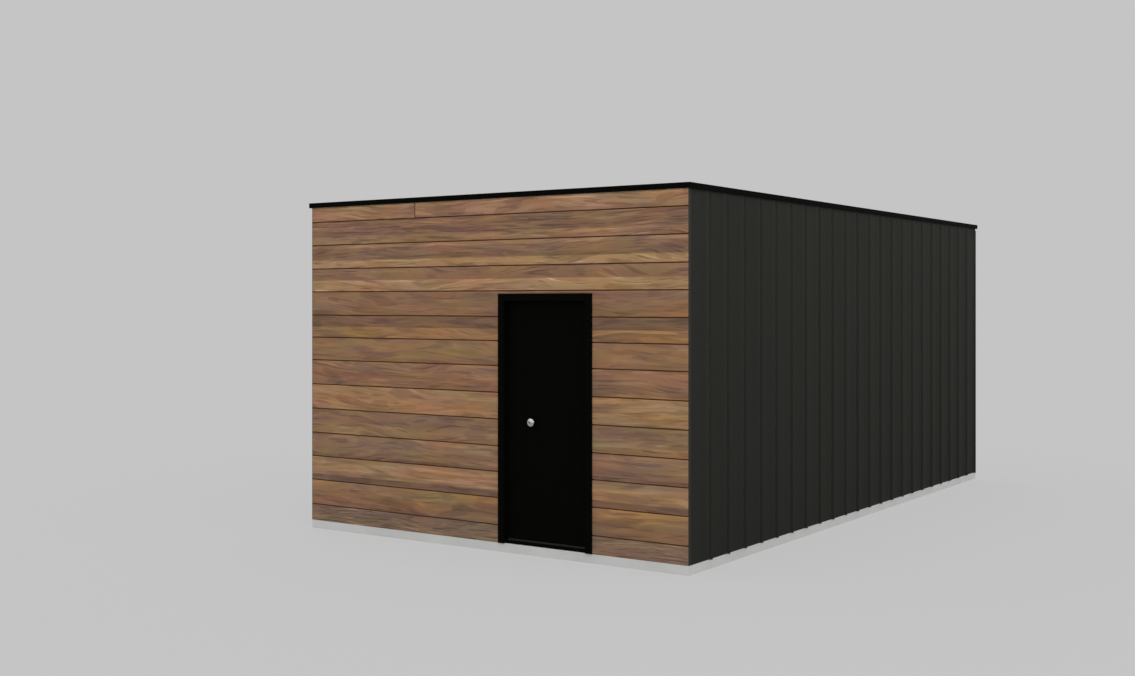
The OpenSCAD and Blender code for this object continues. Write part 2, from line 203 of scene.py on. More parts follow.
def material(name, **fixed):
    """Makes a material with some of its shader's inputs set by name. Gives its tree, the shader's inputs
    and the place of each point on a piece."""
    made = bpy.data.materials.new(name)
    made.use_nodes = True
    tree = made.node_tree
    shader = tree.nodes["Principled BSDF"].inputs
    for key, value in fixed.items():
        shader[key.replace("_", " ")].default_value = value
    return tree, shader, add(tree, "ShaderNodeTexCoord").outputs["Object"]


def per_metre(size):
    """Scale of a pattern whose features have this size in millimetres."""
    return 1000 / size


def mottle(tree, shader, at, sizes, detail, shades, **more):
    """Tones a surface from one shade to another by a noise with features of the sizes given in millimetres,
    and returns the noise."""
    spot = add(tree, VECTOR, {0: at, 1: tuple(map(per_metre, sizes))}, operation="MULTIPLY").outputs[0]
    field = add(tree, NOISE, {"Vector": spot, "Scale": 1.0, "Detail": detail, **more}).outputs["Fac"]
    add(tree, RAMP, {"Fac": field}, stops=[(place, linear(code)) for place, code in shades],
        into=shader["Base Color"])
    return field


def new_piece(name, bm, *materials):
    """Makes an object at the origin from a bmesh, smooth except at its sharp edges."""
    mesh = bpy.data.meshes.new(name)
    bm.to_mesh(mesh)
    bm.free()
    for made in materials:
        mesh.materials.append(made)
    mesh.shade_smooth()
    mesh.set_sharp_from_angle(angle=SHARP)
    piece = bpy.data.objects.new(name, mesh)
    bpy.context.scene.collection.objects.link(piece)
    return piece


def prism(bm, outline, away):
    """Draws an outline in a bmesh and extrudes it."""
    face = bm.faces.new([bm.verts.new(point) for point in outline])
    far = bmesh.ops.extrude_face_region(bm, geom=[face])["geom"]
    bmesh.ops.translate(bm, vec=away, verts=[v for v in far if isinstance(v, bmesh.types.BMVert)])


def block(bm, centre, size, place=Matrix(), turn=None, finish=0):
    """Adds a block to a bmesh, with the material of the given number, and returns its corners."""
    matrix = place @ Matrix.LocRotScale(centre, turn, size)
    corners = bmesh.ops.create_cube(bm, size=1.0, matrix=matrix)["verts"]
    for face in {f for v in corners for f in v.link_faces}:
        face.material_index = finish
    return corners


# ---------------------------------------------------------------- materials

def walnut_boards(look):
    """Heat-treated hardwood cladding, sawn through the log and oiled: long flowing figure that closes to
    arches here and there, in browns that go from plum to straw as the wood gets lighter."""
    tree, shader, at = material("walnut_boards", Roughness=0.62, Specular_IOR_Level=0.10)
    place, tones, steps, figure = (
        add(tree, "ShaderNodeAttribute", attribute_name=name).outputs["Vector"]
        for name in ("grain_place", "board_tones", "board_steps", "board_figure"))
    in_log = add(tree, VECTOR, {0: at, 1: place}, operation="ADD").outputs[0]
    place, tones, steps, figure, in_log, on_wall = (
        add(tree, SPLIT, {0: vector}).outputs for vector in (place, tones, steps, figure, in_log, at))
    # The board was sawn through the log, so its face shows rings that run into its depth.
    across = add(tree, MATH, {0: in_log["Y"], 1: 0.35, 2: in_log["Z"]}, operation="MULTIPLY_ADD").outputs[0]

    def noise(x, field, y, detail):
        """Noise whose features are 1/x metres long and 1/y metres, or rings, high."""
        long = add(tree, MATH, {0: in_log["X"], 1: x}, operation="MULTIPLY").outputs[0]
        high = add(tree, MATH, {0: field, 1: y}, operation="MULTIPLY").outputs[0]
        spot = add(tree, "ShaderNodeCombineXYZ", {"X": long, "Y": high, "Z": place["Y"]}).outputs[0]
        return add(tree, NOISE, {"Vector": spot, "Scale": 1.0, "Detail": detail}).outputs

    def swing(value, factor):
        """Centres a noise on zero and gives it its share."""
        centred = add(tree, MATH, {0: value, 1: 0.5}, operation="SUBTRACT").outputs[0]
        return add(tree, MATH, {0: centred, 1: factor}, operation="MULTIPLY").outputs[0]

    def patches(x, y, detail, edge, width, depth):
        """Share by which the wood changes where a noise on the rings passes an edge of the given width."""
        return add(tree, RANGE, {
            "Value": noise(x, rings, y, detail)["Fac"],
            "From Min": edge, "From Max": edge + width, "To Max": depth}).outputs[0]

    # Growth rings lie along the board. A slow wander, over a metre long and a board high, bends them, and
    # closes some of them to arches.
    wander = swing(noise(0.9, across, 4.0, 0.6)["Fac"], 9.0)
    rings = add(tree, MATH, {0: across, 1: 1 / look.ring, 2: wander}, operation="MULTIPLY_ADD").outputs[0]

    bands = swing(noise(2.0, rings, 0.55, 2.0)["Fac"], 0.34)
    fibre = noise(8.0, rings, 2.2, 2.0)["Fac"]
    # Late wood shows as thin dark lines, early wood as pale ones, and heartwood as patches with a clear edge.
    line = patches(3.4, 1.7, 0.8, 0.605, 0.035, 0.15)
    pale = patches(2.6, 1.5, 0.8, 0.61, 0.06, 0.09)
    heartwood = patches(2.4, 0.42, 1.5, 0.55, 0.035, 0.09)
    # Pores are 0.3 mm wide and too fine to show, so the grain is drawn 1.5 mm wide and 70 mm long.
    grain = noise(14.0, across, 650.0, 2.0)["Fac"]

    # A board's lightness changes across its height, from the heart of the log outwards. This is partly
    # painted light: some heads and feet are lighter against the shade of the coping and the joints.
    sway = swing(noise(1.5, across, 0.0, 2.0)["Fac"], 14 * MM)
    height = add(tree, MATH, {0: on_wall["Z"], 1: sway}, operation="ADD").outputs[0]
    light = tones["X"]
    for step, upper in (("X", "Y"), ("Y", "Z")):
        low, high = (add(tree, MATH, {0: steps[step], 1: steps["Z"]}, operation=way).outputs[0]
                     for way in ("SUBTRACT", "ADD"))
        light = add(tree, RANGE, {
            "Value": height, "From Min": low, "From Max": high, "To Min": light, "To Max": tones[upper]},
            interpolation_type="SMOOTHSTEP").outputs[0]

    drawn = add(tree, MATH, {0: swing(fibre, 0.14), 1: pale}, operation="ADD").outputs[0]
    drawn = add(tree, MATH, {0: drawn, 1: swing(grain, 0.12)}, operation="ADD").outputs[0]
    drawn = add(tree, MATH, {0: drawn, 1: line}, operation="SUBTRACT").outputs[0]
    for share, strength in ((bands, 1.0), (drawn, figure["X"]), (heartwood, -1.0)):
        light = add(tree, MATH, {0: share, 1: strength, 2: light}, operation="MULTIPLY_ADD").outputs[0]
    light = add(tree, RANGE, {"Value": light, "From Min": 0.67, "From Max": 1.32}).outputs[0]
    colour = add(tree, RAMP, {"Fac": light}, stops=[
        (0.03, look.plum), (0.33, look.umber), (0.46, look.heart),
        (0.58, look.honey), (0.86, look.straw), (1.0, look.cream)]).outputs["Color"]

    # Each board has its own hue, which drifts to red or green, and to blue or yellow, along it.
    drift = noise(1.6, across, 8.0, 1.0)["Color"]
    drift = add(tree, VECTOR, {0: drift, 1: (-0.5, -0.5, -0.5)}, operation="ADD").outputs[0]
    hue = add(tree, "ShaderNodeCombineXYZ", {"X": figure["Y"], "Y": 1.0, "Z": figure["Z"]}).outputs[0]
    drift = add(tree, VECTOR, {0: drift, 1: (0.5, 0.0, 0.65), 2: hue}, operation="MULTIPLY_ADD").outputs[0]
    colour = add(tree, VECTOR, {0: colour, 1: drift}, operation="MULTIPLY").outputs[0]
    # Rain that splashes up from the ground has greyed the lowest course.
    splashed = add(tree, RANGE, {
        "Value": height, "From Min": 0.22, "From Max": 0.24, "To Min": 0.86, "To Max": 1.0}).outputs[0]
    add(tree, "ShaderNodeHueSaturation", {"Saturation": splashed, "Color": colour}, into=shader["Base Color"])

    # The softer early wood has worn back by a fraction of a millimetre.
    relief = add(tree, MATH, {0: grain, 1: fibre}, operation="ADD").outputs[0]
    add(tree, BUMP, {"Height": relief, "Distance": 0.3 * MM, "Strength": 0.6}, into=shader["Normal"])


def stained_edges():
    """Sawn edges and tongues of the boards, in an uneven red-brown that is partly a stain that soaks in and
    partly painted light: it stands in for the reddish light that bounces between the boards in the joints.
    """
    tree, shader, at = material("stained_edges", Roughness=0.8, Specular_IOR_Level=0.1)
    mottle(tree, shader, at, (166.67, 16.667, 16.667), 2.0, ((0.3, "#4a2b16"), (0.7, "#613b1f")))


def breather_membrane():
    """Black breather membrane behind the open joints: matt, with a faint woven backing, whose threads of
    half a millimetre are drawn 2.5 mm wide so that they show."""
    tree, shader, at = material("breather_membrane", Roughness=0.9, Specular_IOR_Level=0.1)
    mottle(tree, shader, at, (2.5, 2.5, 2.5), 1.0, ((0.3, "#120e0b"), (0.7, "#1b1613")))


EAVES = 3.0             # height at which the sheet is painted lightest
SEAM_LIGHT_REACH = 110 * MM   # width of the painted light on one side of a seam
SEAM_EDGE = 0.5 * MM    # width of the seam's own edge that is painted lighter


def coated_sheet(name, colour, level, rough, ripple, painted_top_light, seam_light=0.0, seams=(0.0, 10.0)):
    """Steel sheet, hot-dip galvanised, coil-coated in a matt paint and folded: an even dull colour, with
    slow waves that the folding leaves in a wide pan and a fine grain in the paint. The colour is painted
    lighter towards the top of a wall and darker towards its foot, by the share painted_top_light: painted
    light and shade. Each seam's edge and a band on one side of it are painted lighter, by the share
    seam_light: painted light against the shade that the seams cast. The seams are given by the place of
    the first along the wall and their distance."""
    tree, shader, at = material(name, Roughness=rough, Specular_IOR_Level=level)
    # Each pan between two seams comes from its own length of coil, a shade lighter or darker than the next.
    first, pitch = seams
    pans = add(tree, VECTOR, {0: at, 1: (1 / pitch, 1 / pitch, 0.0), 2: (0.0, -first / pitch, 0.0)},
               operation="MULTIPLY_ADD").outputs[0]
    along = add(tree, SPLIT, {0: pans}).outputs["Y"]
    pans = add(tree, VECTOR, {0: pans}, operation="FLOOR").outputs[0]
    pan = add(tree, "ShaderNodeTexWhiteNoise", {"Vector": pans}, noise_dimensions="3D").outputs["Value"]
    cloud = add(tree, NOISE, {"Vector": at, "Scale": per_metre(833.3), "Detail": 3.0}).outputs["Fac"]
    both = add(tree, MATH, {0: pan, 1: cloud}, operation="ADD").outputs[0]
    shade = add(tree, RANGE, {
        "Value": both, "From Min": 0.4, "From Max": 1.6, "To Min": 0.96, "To Max": 1.04}).outputs[0]
    height = add(tree, SPLIT, {0: at}).outputs["Z"]
    # Painted light and shade: the colour goes from darker at the foot to lighter at EAVES. It stands in for
    # the light that falls more on the upper wall than on its foot.
    shares = [add(tree, RANGE, {
        "Value": height, "From Max": EAVES, "To Min": 1.0 - painted_top_light, "To Max": 1.0 + painted_top_light}).outputs[0]]
    # Painted light: the seam's edge and a band on one side of it are made lighter, against the shade that the
    # seams cast.
    if seam_light:
        across = add(tree, MATH, {0: along}, operation="FRACT").outputs[0]
        close = add(tree, RANGE, {
            "Value": across, "From Min": 1.0 - SEAM_LIGHT_REACH / pitch, "From Max": 1.0}).outputs[0]
        close = add(tree, MATH, {0: close, 1: 2.5}, operation="POWER").outputs[0]
        fold = add(tree, MATH, {0: across, 1: SEAM_EDGE / pitch}, operation="LESS_THAN").outputs[0]
        close = add(tree, MATH, {0: close, 1: fold}, operation="MAXIMUM").outputs[0]
        shares.append(add(tree, MATH, {0: close, 1: seam_light, 2: 1.0}, operation="MULTIPLY_ADD").outputs[0])
    for share in shares:
        shade = add(tree, MATH, {0: shade, 1: share}, operation="MULTIPLY").outputs[0]
    add(tree, VECTOR, {0: tuple(colour), 3: shade}, operation="SCALE", into=shader["Base Color"])
    wave_sizes = tuple(map(per_metre, (285.7, 285.7, 769.2)))
    wave_at = add(tree, VECTOR, {0: at, 1: wave_sizes}, operation="MULTIPLY").outputs[0]
    wave = add(tree, NOISE, {"Vector": wave_at, "Scale": 1.0, "Detail": 1.0}).outputs["Fac"]
    waves = add(tree, BUMP, {"Height": wave, "Distance": ripple, "Strength": 1.0}).outputs[0]
    # The paint's grain is about as wide as the droplets that it flowed out from.
    grain = add(tree, NOISE, {"Vector": at, "Scale": per_metre(1.4286), "Detail": 1.0}).outputs["Fac"]
    add(tree, BUMP, {"Height": grain, "Distance": 0.05 * MM, "Strength": 0.4, "Normal": waves},
        into=shader["Normal"])


def precast_concrete():
    """Concrete cast against smooth steel forms: pale grey, faintly clouded, with pinholes. The holes stand
    some 22 mm apart, and are drawn a few millimetres wide so that they show."""
    tree, shader, at = material("precast_concrete", Roughness=0.85, Specular_IOR_Level=0.3)
    cloud = add(tree, NOISE, {
        "Vector": at, "Scale": per_metre(400), "Detail": 5.0, "Roughness": 0.6}).outputs["Fac"]
    colour = add(tree, RAMP, {"Fac": cloud}, stops=[
        (0.3, linear("#b0b0ae")), (0.5, linear("#b5b5b3")), (0.7, linear("#bababa"))]).outputs["Color"]
    holes = add(tree, "ShaderNodeTexVoronoi", {"Vector": at, "Scale": per_metre(22.222)}).outputs["Distance"]
    # The pinholes are also darkened in colour. This is painted shade in holes that are only bumped.
    pit = add(tree, RANGE, {
        "Value": holes, "From Min": 0.05, "From Max": 0.16, "To Min": 0.88, "To Max": 1.0}).outputs[0]
    add(tree, VECTOR, {0: colour, 3: pit}, operation="SCALE", into=shader["Base Color"])
    add(tree, BUMP, {"Height": pit, "Distance": 2 * MM, "Strength": 0.6}, into=shader["Normal"])


def painted_lining():
    """Plasterboard under a rolled matt emulsion: warm white, with the roller's stipple of 3 mm."""
    tree, shader, at = material("painted_lining", Roughness=0.8, Specular_IOR_Level=0.3)
    mottle(tree, shader, at, (666.7, 666.7, 666.7), 3.0, ((0.3, "#dedcd6"), (0.7, "#e6e4de")))
    stipple = add(tree, NOISE, {"Vector": at, "Scale": per_metre(2.8571), "Detail": 2.0}).outputs["Fac"]
    add(tree, BUMP, {"Height": stipple, "Distance": 0.2 * MM, "Strength": 0.5}, into=shader["Normal"])


def sheathing_board():
    """Oriented strand board, pressed from softwood wafers 70 mm long: a patchwork of straw browns."""
    tree, shader, at = material("sheathing_board", Roughness=0.75, Specular_IOR_Level=0.3)
    wafer_sizes = tuple(map(per_metre, (71.43, 71.43, 25)))
    wafers = add(tree, VECTOR, {0: at, 1: wafer_sizes}, operation="MULTIPLY").outputs[0]
    cell = add(tree, "ShaderNodeTexVoronoi", {"Vector": wafers, "Scale": 1.0}).outputs["Color"]
    one = add(tree, "ShaderNodeSeparateColor", {0: cell}).outputs["Red"]
    add(tree, RAMP, {"Fac": one}, into=shader["Base Color"], stops=[
        (0.0, linear("#a8834f")), (0.5, linear("#c19b63")), (1.0, linear("#d3b47e"))])


def roofing_membrane():
    """Rubber roofing membrane, glued down: dull dark grey with dust that the rain has left. Its grain of
    one millimetre is drawn 4.5 mm wide so that it shows."""
    tree, shader, at = material("roofing_membrane", Roughness=0.8, Specular_IOR_Level=0.3)
    mottle(tree, shader, at, (833.3, 833.3, 833.3), 6.0, ((0.35, "#353636"), (0.7, "#41413e")),
           Roughness=0.65)
    grain = add(tree, NOISE, {"Vector": at, "Scale": per_metre(4.5455), "Detail": 1.0}).outputs["Fac"]
    add(tree, BUMP, {"Height": grain, "Distance": 0.3 * MM, "Strength": 0.5}, into=shader["Normal"])


def polished_steel(name, code, rough):
    """Steel, turned and buffed or plated with zinc: bright, with the faint unevenness that buffing leaves."""
    tree, shader, at = material(name, Metallic=1.0)
    wear = add(tree, NOISE, {"Vector": at, "Scale": per_metre(16.667), "Detail": 3.0}).outputs["Fac"]
    bright = linear(code)
    add(tree, RAMP, {"Fac": wear}, into=shader["Base Color"],
        stops=[(0.3, [0.96 * c for c in bright]), (0.7, bright)])
    add(tree, RANGE, {"Value": wear, "From Min": 0.3, "From Max": 0.7,
                      "To Min": rough * 0.9, "To Max": rough * 1.1}, into=shader["Roughness"])


def oak_planks():
    """Oak flooring, brushed and oiled: straight honey-brown grain, each plank its own shade. The grain runs
    along Y, in streaks half a metre long that are drawn 17 mm wide so that they show."""
    tree, shader, at = material("oak_planks", Roughness=0.5, Specular_IOR_Level=0.3)
    shift = add(tree, "ShaderNodeAttribute", attribute_name="plank_shift").outputs["Fac"]
    moved = add(tree, "ShaderNodeCombineXYZ", {"Z": shift}).outputs[0]
    board = add(tree, VECTOR, {0: at, 1: moved}, operation="ADD").outputs[0]
    grain_sizes = tuple(map(per_metre, (16.667, 500, 1000)))
    grain_at = add(tree, VECTOR, {0: board, 1: grain_sizes}, operation="MULTIPLY").outputs[0]
    grain = add(tree, NOISE, {
        "Vector": grain_at, "Scale": 1.0, "Detail": 4.0, "Distortion": 0.4}).outputs["Fac"]
    colour = add(tree, RAMP, {"Fac": grain}, stops=[
        (0.3, linear("#8a6641")), (0.5, linear("#a98256")), (0.7, linear("#bd9a6d"))]).outputs["Color"]
    shade = add(tree, "ShaderNodeTexWhiteNoise", {"W": shift}, noise_dimensions="1D").outputs["Value"]
    shade = add(tree, RANGE, {"Value": shade, "To Min": 0.82, "To Max": 1.1}).outputs[0]
    add(tree, VECTOR, {0: colour, 3: shade}, operation="SCALE", into=shader["Base Color"])
    add(tree, BUMP, {"Height": grain, "Distance": 0.3 * MM, "Strength": 0.5}, into=shader["Normal"])


def soft_rubber():
    """Extruded rubber seal: black and dull, with a light bloom."""
    tree, shader, at = material("soft_rubber", Roughness=0.7, Specular_IOR_Level=0.25)
    mottle(tree, shader, at, (33.333, 33.333, 33.333), 3.0, ((0.3, "#151515"), (0.7, "#1f1f1e")))


def anodised_aluminium():
    """Extruded aluminium, black anodised: a dark satin skin with the faint lines of the die along it, a
    millimetre apart."""
    tree, shader, at = material("anodised_aluminium", Roughness=0.45, Specular_IOR_Level=0.2)
    lines = mottle(tree, shader, at, (250, 1.1111, 1.1111), 1.0, ((0.3, "#1a1a19"), (0.7, "#222221")))
    add(tree, BUMP, {"Height": lines, "Distance": 0.05 * MM, "Strength": 0.5}, into=shader["Normal"])


def finishes():
    """All finishes by name, each made once."""
    scene = bpy.context.scene
    metal = scene.home_metal
    found = bpy.data.materials
    if "walnut_boards" not in found:
        walnut_boards(scene.home_timber)
        stained_edges()
        breather_membrane()
        coated_sheet("charcoal_sheet", metal.charcoal, 0.05, 0.6, metal.ripple, 0.17, 0.95, seam_places())
        coated_sheet("black_sheet", metal.black, 0.009, 0.5, 0.2 * MM, 0.0)
        coated_sheet("black_powder_coat", metal.door, 0.008, 0.5, 0.2 * MM, 0.0)
        precast_concrete()
        painted_lining()
        sheathing_board()
        roofing_membrane()
        soft_rubber()
        anodised_aluminium()
        polished_steel("polished_steel", "#b4b4b0", 0.10)
        polished_steel("bright_zinc_steel", "#a6a6a2", 0.3)
        oak_planks()
    return found


def seam_places():
    """Place of the first standing seam of a side wall along Y, and the distance between two seams."""
    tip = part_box("right_metal_cladding")[1].x - MM
    edges = sorted({round(v.co.y, 4) for v in NODES["right_metal_cladding"].data.vertices if v.co.x > tip})
    fronts = [edges[0], *(b for a, b in zip(edges, edges[1:]) if b - a > 0.1)]
    return fronts[0], (fronts[-1] - fronts[0]) / (len(fronts) - 1)


# ---------------------------------------------------------------- timber front

# Lightness of each course of boards, counted from the ground: at its foot, in its middle and at its head,
# then the shares of its height at which the lower and the upper change come, and how soft they are. These
# are the boards' own tones and partly painted light: some heads and feet are lighter against the shade of
# the coping and the joints.
COURSE_TONES = (
    (0.97, 0.89, 0.85, 0.3, 0.7, 0.2),
    (0.95, 0.96, 1.03, 0.4, 0.72, 0.25),
    (0.87, 1.09, 1.01, 0.25, 0.85, 0.03),
    (0.88, 0.98, 0.99, 0.14, 0.75, 0.05),
    (1.06, 0.93, 0.94, 0.5, 0.85, 0.12),
    (1.09, 1.08, 1.06, 0.3, 0.8, 0.15),
    (0.97, 0.94, 0.97, 0.3, 0.55, 0.2),
    (0.99, 1.01, 0.95, 0.2, 0.85, 0.12),
    (1.05, 0.84, 0.81, 0.49, 0.8, 0.02),
    (1.00, 0.98, 0.93, 0.15, 0.72, 0.1),
    (1.16, 0.93, 0.95, 0.49, 0.8, 0.02),
    # Painted light: the feet of courses 11 and 12 are lighter against the shade of the joints under them, and
    # the head of course 13 is lighter against the coping's shadow.
    (1.15, 0.93, 1.06, 0.34, 0.86, 0.02),
    (1.06, 0.91, 0.91, 0.34, 0.7, 0.05),
    (1.06, 1.08, 1.25, 0.15, 0.66, 0.09),
)

# Strength of the figure in each course of boards, and how much red and blue its hue holds.
COURSE_FIGURE = (
    (1.9, 0.96, 0.90),
    (0.8, 1.00, 0.95),
    (0.7, 1.00, 1.04),
    (0.9, 1.00, 1.04),
    (0.9, 0.95, 1.00),
    (0.8, 1.03, 0.95),
    (0.9, 1.05, 1.00),
    (0.6, 1.00, 0.95),
    (0.7, 1.02, 0.86),
    (0.7, 1.03, 0.98),
    (1.0, 1.00, 1.00),
    (1.0, 1.00, 1.00),
    (1.3, 1.00, 1.02),
    (0.9, 1.05, 1.12),
)

HAIR = 0.5 * MM     # air between a board and the next thing, and the bite of a tongue in a board
TONGUE = 8 * MM     # thickness of a tongue


def courses():
    """Lowest and highest edge of each course of boards, trimmed a little from the joints of the CAD
    boarding."""
    low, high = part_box("front_boarding_left")
    levels = sorted({round(v.co.z, 5) for v in NODES["front_boarding_left"].data.vertices
                     if low.y + MM < v.co.y < high.y - MM})
    levels = [low.z - HAIR, *levels, high.z + HAIR]
    return [(z0 + HAIR, z1 - HAIR) for z0, z1 in zip(levels[0::2], levels[1::2])]


def doorway():
    """Left edge of the boarding, left and right edge of the doorway in it, its right edge, and the
    doorway's top."""
    left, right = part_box("front_boarding_left"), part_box("front_boarding_right")
    return left[0].x, left[1].x, right[0].x, right[1].x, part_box("front_boarding_over_door")[0].z


def board_outlines(look):
    """Course and outline, as (x, z) points, of each board. The course at the door's head is cut round it."""
    left, door_left, door_right, right, door_top = doorway()
    found = courses()
    for course, (z0, z1) in enumerate(found):
        if z1 <= door_top:
            spans = [(left, door_left), (door_right, right)]
        elif course == len(found) - 1:
            half = look.butt_gap / 2
            spans = [(left, look.butt_at - half), (look.butt_at + half, right)]
        elif z0 < door_top:
            yield course, [(left, z0), (door_left, z0), (door_left, door_top), (door_right, door_top),
                           (door_right, z0), (right, z0), (right, z1), (left, z1)]
            continue
        else:
            spans = [(left, right)]
        for x0, x1 in spans:
            yield course, [(x0, z0), (x1, z0), (x1, z1), (x0, z1)]


def board_tongues(look):
    """Corners, as (x, z) points, of the tongue behind each joint, reaching a little into both boards."""
    found = list(board_outlines(look))
    for course, outline in found:
        top = max(z for _, z in outline)
        left, right = min(x for x, z in outline if z == top), max(x for x, z in outline if z == top)
        above = [min(z for _, z in other) for upper, other in found if upper == course + 1]
        if above:
            yield (left, top - HAIR), (right, above[0] + HAIR)
        elif right < 0:
            yield (right - HAIR, min(z for _, z in outline)), (right + look.butt_gap + HAIR, top)


class HOME_OT_timber(bpy.types.Operator):
    """Lay the boards of the front, with eased edges and open joints, over a breather membrane"""
    bl_idname = "home.timber"
    bl_label = "Timber front"

    def execute(self, context):
        look = context.scene.home_timber
        pick = random.Random(look.seed)
        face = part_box("front_boarding_left")[0].y
        bm = bmesh.new()
        layers = [bm.verts.layers.float_vector.new(name)
                  for name in ("grain_place", "board_tones", "board_steps", "board_figure")]
        for course, outline in board_outlines(look):
            board = bmesh.new()
            prism(board, [(x, face, z) for x, z in outline], (0, look.thickness, 0))
            bmesh.ops.bevel(board, geom=board.edges[:], offset=look.easing, segments=2,
                            profile=0.5, affect="EDGES", clamp_overlap=True)
            bmesh.ops.recalc_face_normals(board, faces=board.faces)
            foot, head = min(z for _, z in outline), max(z for _, z in outline)
            *tones, lower, upper, soft = COURSE_TONES[course % len(COURSE_TONES)]
            tall = head - foot
            # The grain is taken from a place of the board's own in a long log.
            stored = ([pick.uniform(-40, 40) for _ in range(3)], tones,
                      (foot + lower * tall, foot + upper * tall, soft * tall),
                      COURSE_FIGURE[course % len(COURSE_FIGURE)])
            copies = {}
            for v in board.verts:
                copies[v] = bm.verts.new(v.co)
                for layer, value in zip(layers, stored):
                    copies[v][layer] = value
            for f in board.faces:
                bm.faces.new([copies[v] for v in f.verts])
            board.free()
        # A tongue closes each joint behind its shadow gap.
        middle = face + look.gap_depth + TONGUE / 2
        for (x0, z0), (x1, z1) in board_tongues(look):
            block(bm, ((x0 + x1) / 2, middle, (z0 + z1) / 2), (x1 - x0, TONGUE, z1 - z0), finish=1)
        boards = new_piece("timber_boards", bm, finishes()["walnut_boards"], finishes()["stained_edges"])
        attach(boards, BUILDING)
        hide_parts("front_boarding_left", "front_boarding_right", "front_boarding_over_door")

        left, door_left, door_right, right, door_top = doorway()
        low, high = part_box("front_boarding_left")
        front = face + look.thickness + HAIR
        bm = bmesh.new()
        prism(bm, [(left, front, low.z), (door_left, front, low.z), (door_left, front, door_top),
                   (door_right, front, door_top), (door_right, front, low.z), (right, front, low.z),
                   (right, front, high.z), (left, front, high.z)], (0, high.y - front, 0))
        bmesh.ops.recalc_face_normals(bm, faces=bm.faces)
        behind = new_piece("breather_membrane", bm, finishes()["breather_membrane"])
        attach(behind, BUILDING)
        return {"FINISHED"}


# ---------------------------------------------------------------- door furniture

def lathe(bm, outline, place, segments=64):
    """Turns an outline of (radius, height) points about the Z axis, closes it at the axis, and places it."""
    # An arc starts where the straight stretch before it ends, and that point is taken once.
    outline = [outline[0]] + [b for a, b in zip(outline, outline[1:]) if math.dist(a, b) > MM / 1000]
    turns = [math.tau * n / segments for n in range(segments)]
    rings = []
    for radius, height in outline:
        spots = [(radius * math.cos(turn), radius * math.sin(turn), height) for turn in turns]
        rings.append([bm.verts.new(place @ Vector(spot)) for spot in (spots if radius else spots[:1])])
    faces = []
    for lower, upper in zip(rings, rings[1:]):
        for n in range(segments):
            m = (n + 1) % segments
            corners = [ring[at % len(ring)] for ring, at in ((lower, n), (lower, m), (upper, m), (upper, n))]
            faces.append(bm.faces.new(list(dict.fromkeys(corners))))
    bmesh.ops.recalc_face_normals(bm, faces=faces)


def arc(centre, radius, start, stop, steps):
    """Points on an arc, from one angle in degrees to another."""
    for n in range(steps + 1):
        angle = math.radians(start + (stop - start) * n / steps)
        yield centre[0] + radius * math.cos(angle), centre[1] + radius * math.sin(angle)


ROSE_EDGE = 3.5 * MM    # height of the rose's rim
SHOULDER = 2 * MM       # rounding above it
ROSE_TOP = 6 * MM       # height of the rose at the neck
COVE = 3 * MM           # hollow between the rose and the neck
FLARE = 8 * MM          # hollow between the neck and the head
WELL_GAP = 1.2 * MM     # air round the plug
WELL_DEPTH = 5 * MM


def knob_outline(look, radius, reach):
    """Outline of a knob from its rose to its domed head, ending in the well for the centre."""
    rose, neck, half_rim = look.rose / 2, look.neck / 2, look.rim / 2
    shoulder = reach - look.dome
    under = shoulder - look.rim
    flat = radius - half_rim
    ball = (flat ** 2 + look.dome ** 2) / (2 * look.dome)
    points = [(0, 0), (rose, 0), (rose, ROSE_EDGE)]
    points += arc((rose - SHOULDER, ROSE_EDGE), SHOULDER, 0, 90, 5)
    points += [(neck + COVE, ROSE_TOP)]
    points += arc((neck + COVE, ROSE_TOP + COVE), COVE, 270, 180, 5)
    points += arc((neck + FLARE, under - FLARE), FLARE, 180, 90, 8)
    points += [(flat, under)]
    points += arc((flat, shoulder - half_rim), half_rim, -90, 90, 14)
    well = look.plug / 2 + WELL_GAP
    for n in range(1, 13):
        r = flat + (well - flat) * n / 12
        points.append((r, reach - ball + math.sqrt(ball ** 2 - r ** 2)))
    return points + [(well, reach - WELL_DEPTH), (0, reach - WELL_DEPTH)]


# Blocks at the plug, by their width, height and depth: the slot for the key, the ward beside it, the dust
# shutter in it, whose black is painted shade in the keyway, and the thumb turn of the inner knob.
KEYWAY = (17 * MM, 6 * MM, 9 * MM)
WARD = (6 * MM, 7 * MM, 8.6 * MM)
SHADE_SHUTTER = (16.5 * MM, 5.6 * MM, 2 * MM)
THUMB_TURN = (5 * MM, 17 * MM, 6 * MM)
# Turn of the keyway in the plug.
KEY_TURN = Quaternion((0, 0, 1), math.radians(-20))


def keyed_plug(look, reach, place):
    """Mesh of a key cylinder's face, with a keyway cut into it: a broad slot and the ward beside it."""
    radius, foot, face = look.plug / 2, reach - 6 * MM, reach - 1.2 * MM
    plug, slot = bmesh.new(), bmesh.new()
    lathe(plug, [(0, foot), (radius, foot), (radius, face - 0.5 * MM), (radius - 0.6 * MM, face), (0, face)],
          place)
    block(slot, (0, 0, reach), KEYWAY, place, KEY_TURN)
    block(slot, (-3.5 * MM, 1.3 * MM, reach), WARD, place, KEY_TURN)
    pieces = []
    for name, bm in (("plug", plug), ("keyway", slot)):
        mesh = bpy.data.meshes.new(name)
        bm.to_mesh(mesh)
        bm.free()
        pieces.append(bpy.data.objects.new(name, mesh))
        bpy.context.scene.collection.objects.link(pieces[-1])
    holder, tool = pieces
    cut = holder.modifiers.new("keyway", "BOOLEAN")
    cut.operation, cut.solver, cut.object, cut.use_self = "DIFFERENCE", "EXACT", tool, True
    result = bpy.data.meshes.new_from_object(holder.evaluated_get(bpy.context.evaluated_depsgraph_get()))
    for piece in pieces:
        bpy.data.objects.remove(piece)
    if len(result.polygons) < 80:
        raise RuntimeError("the keyway was not cut")
    return result


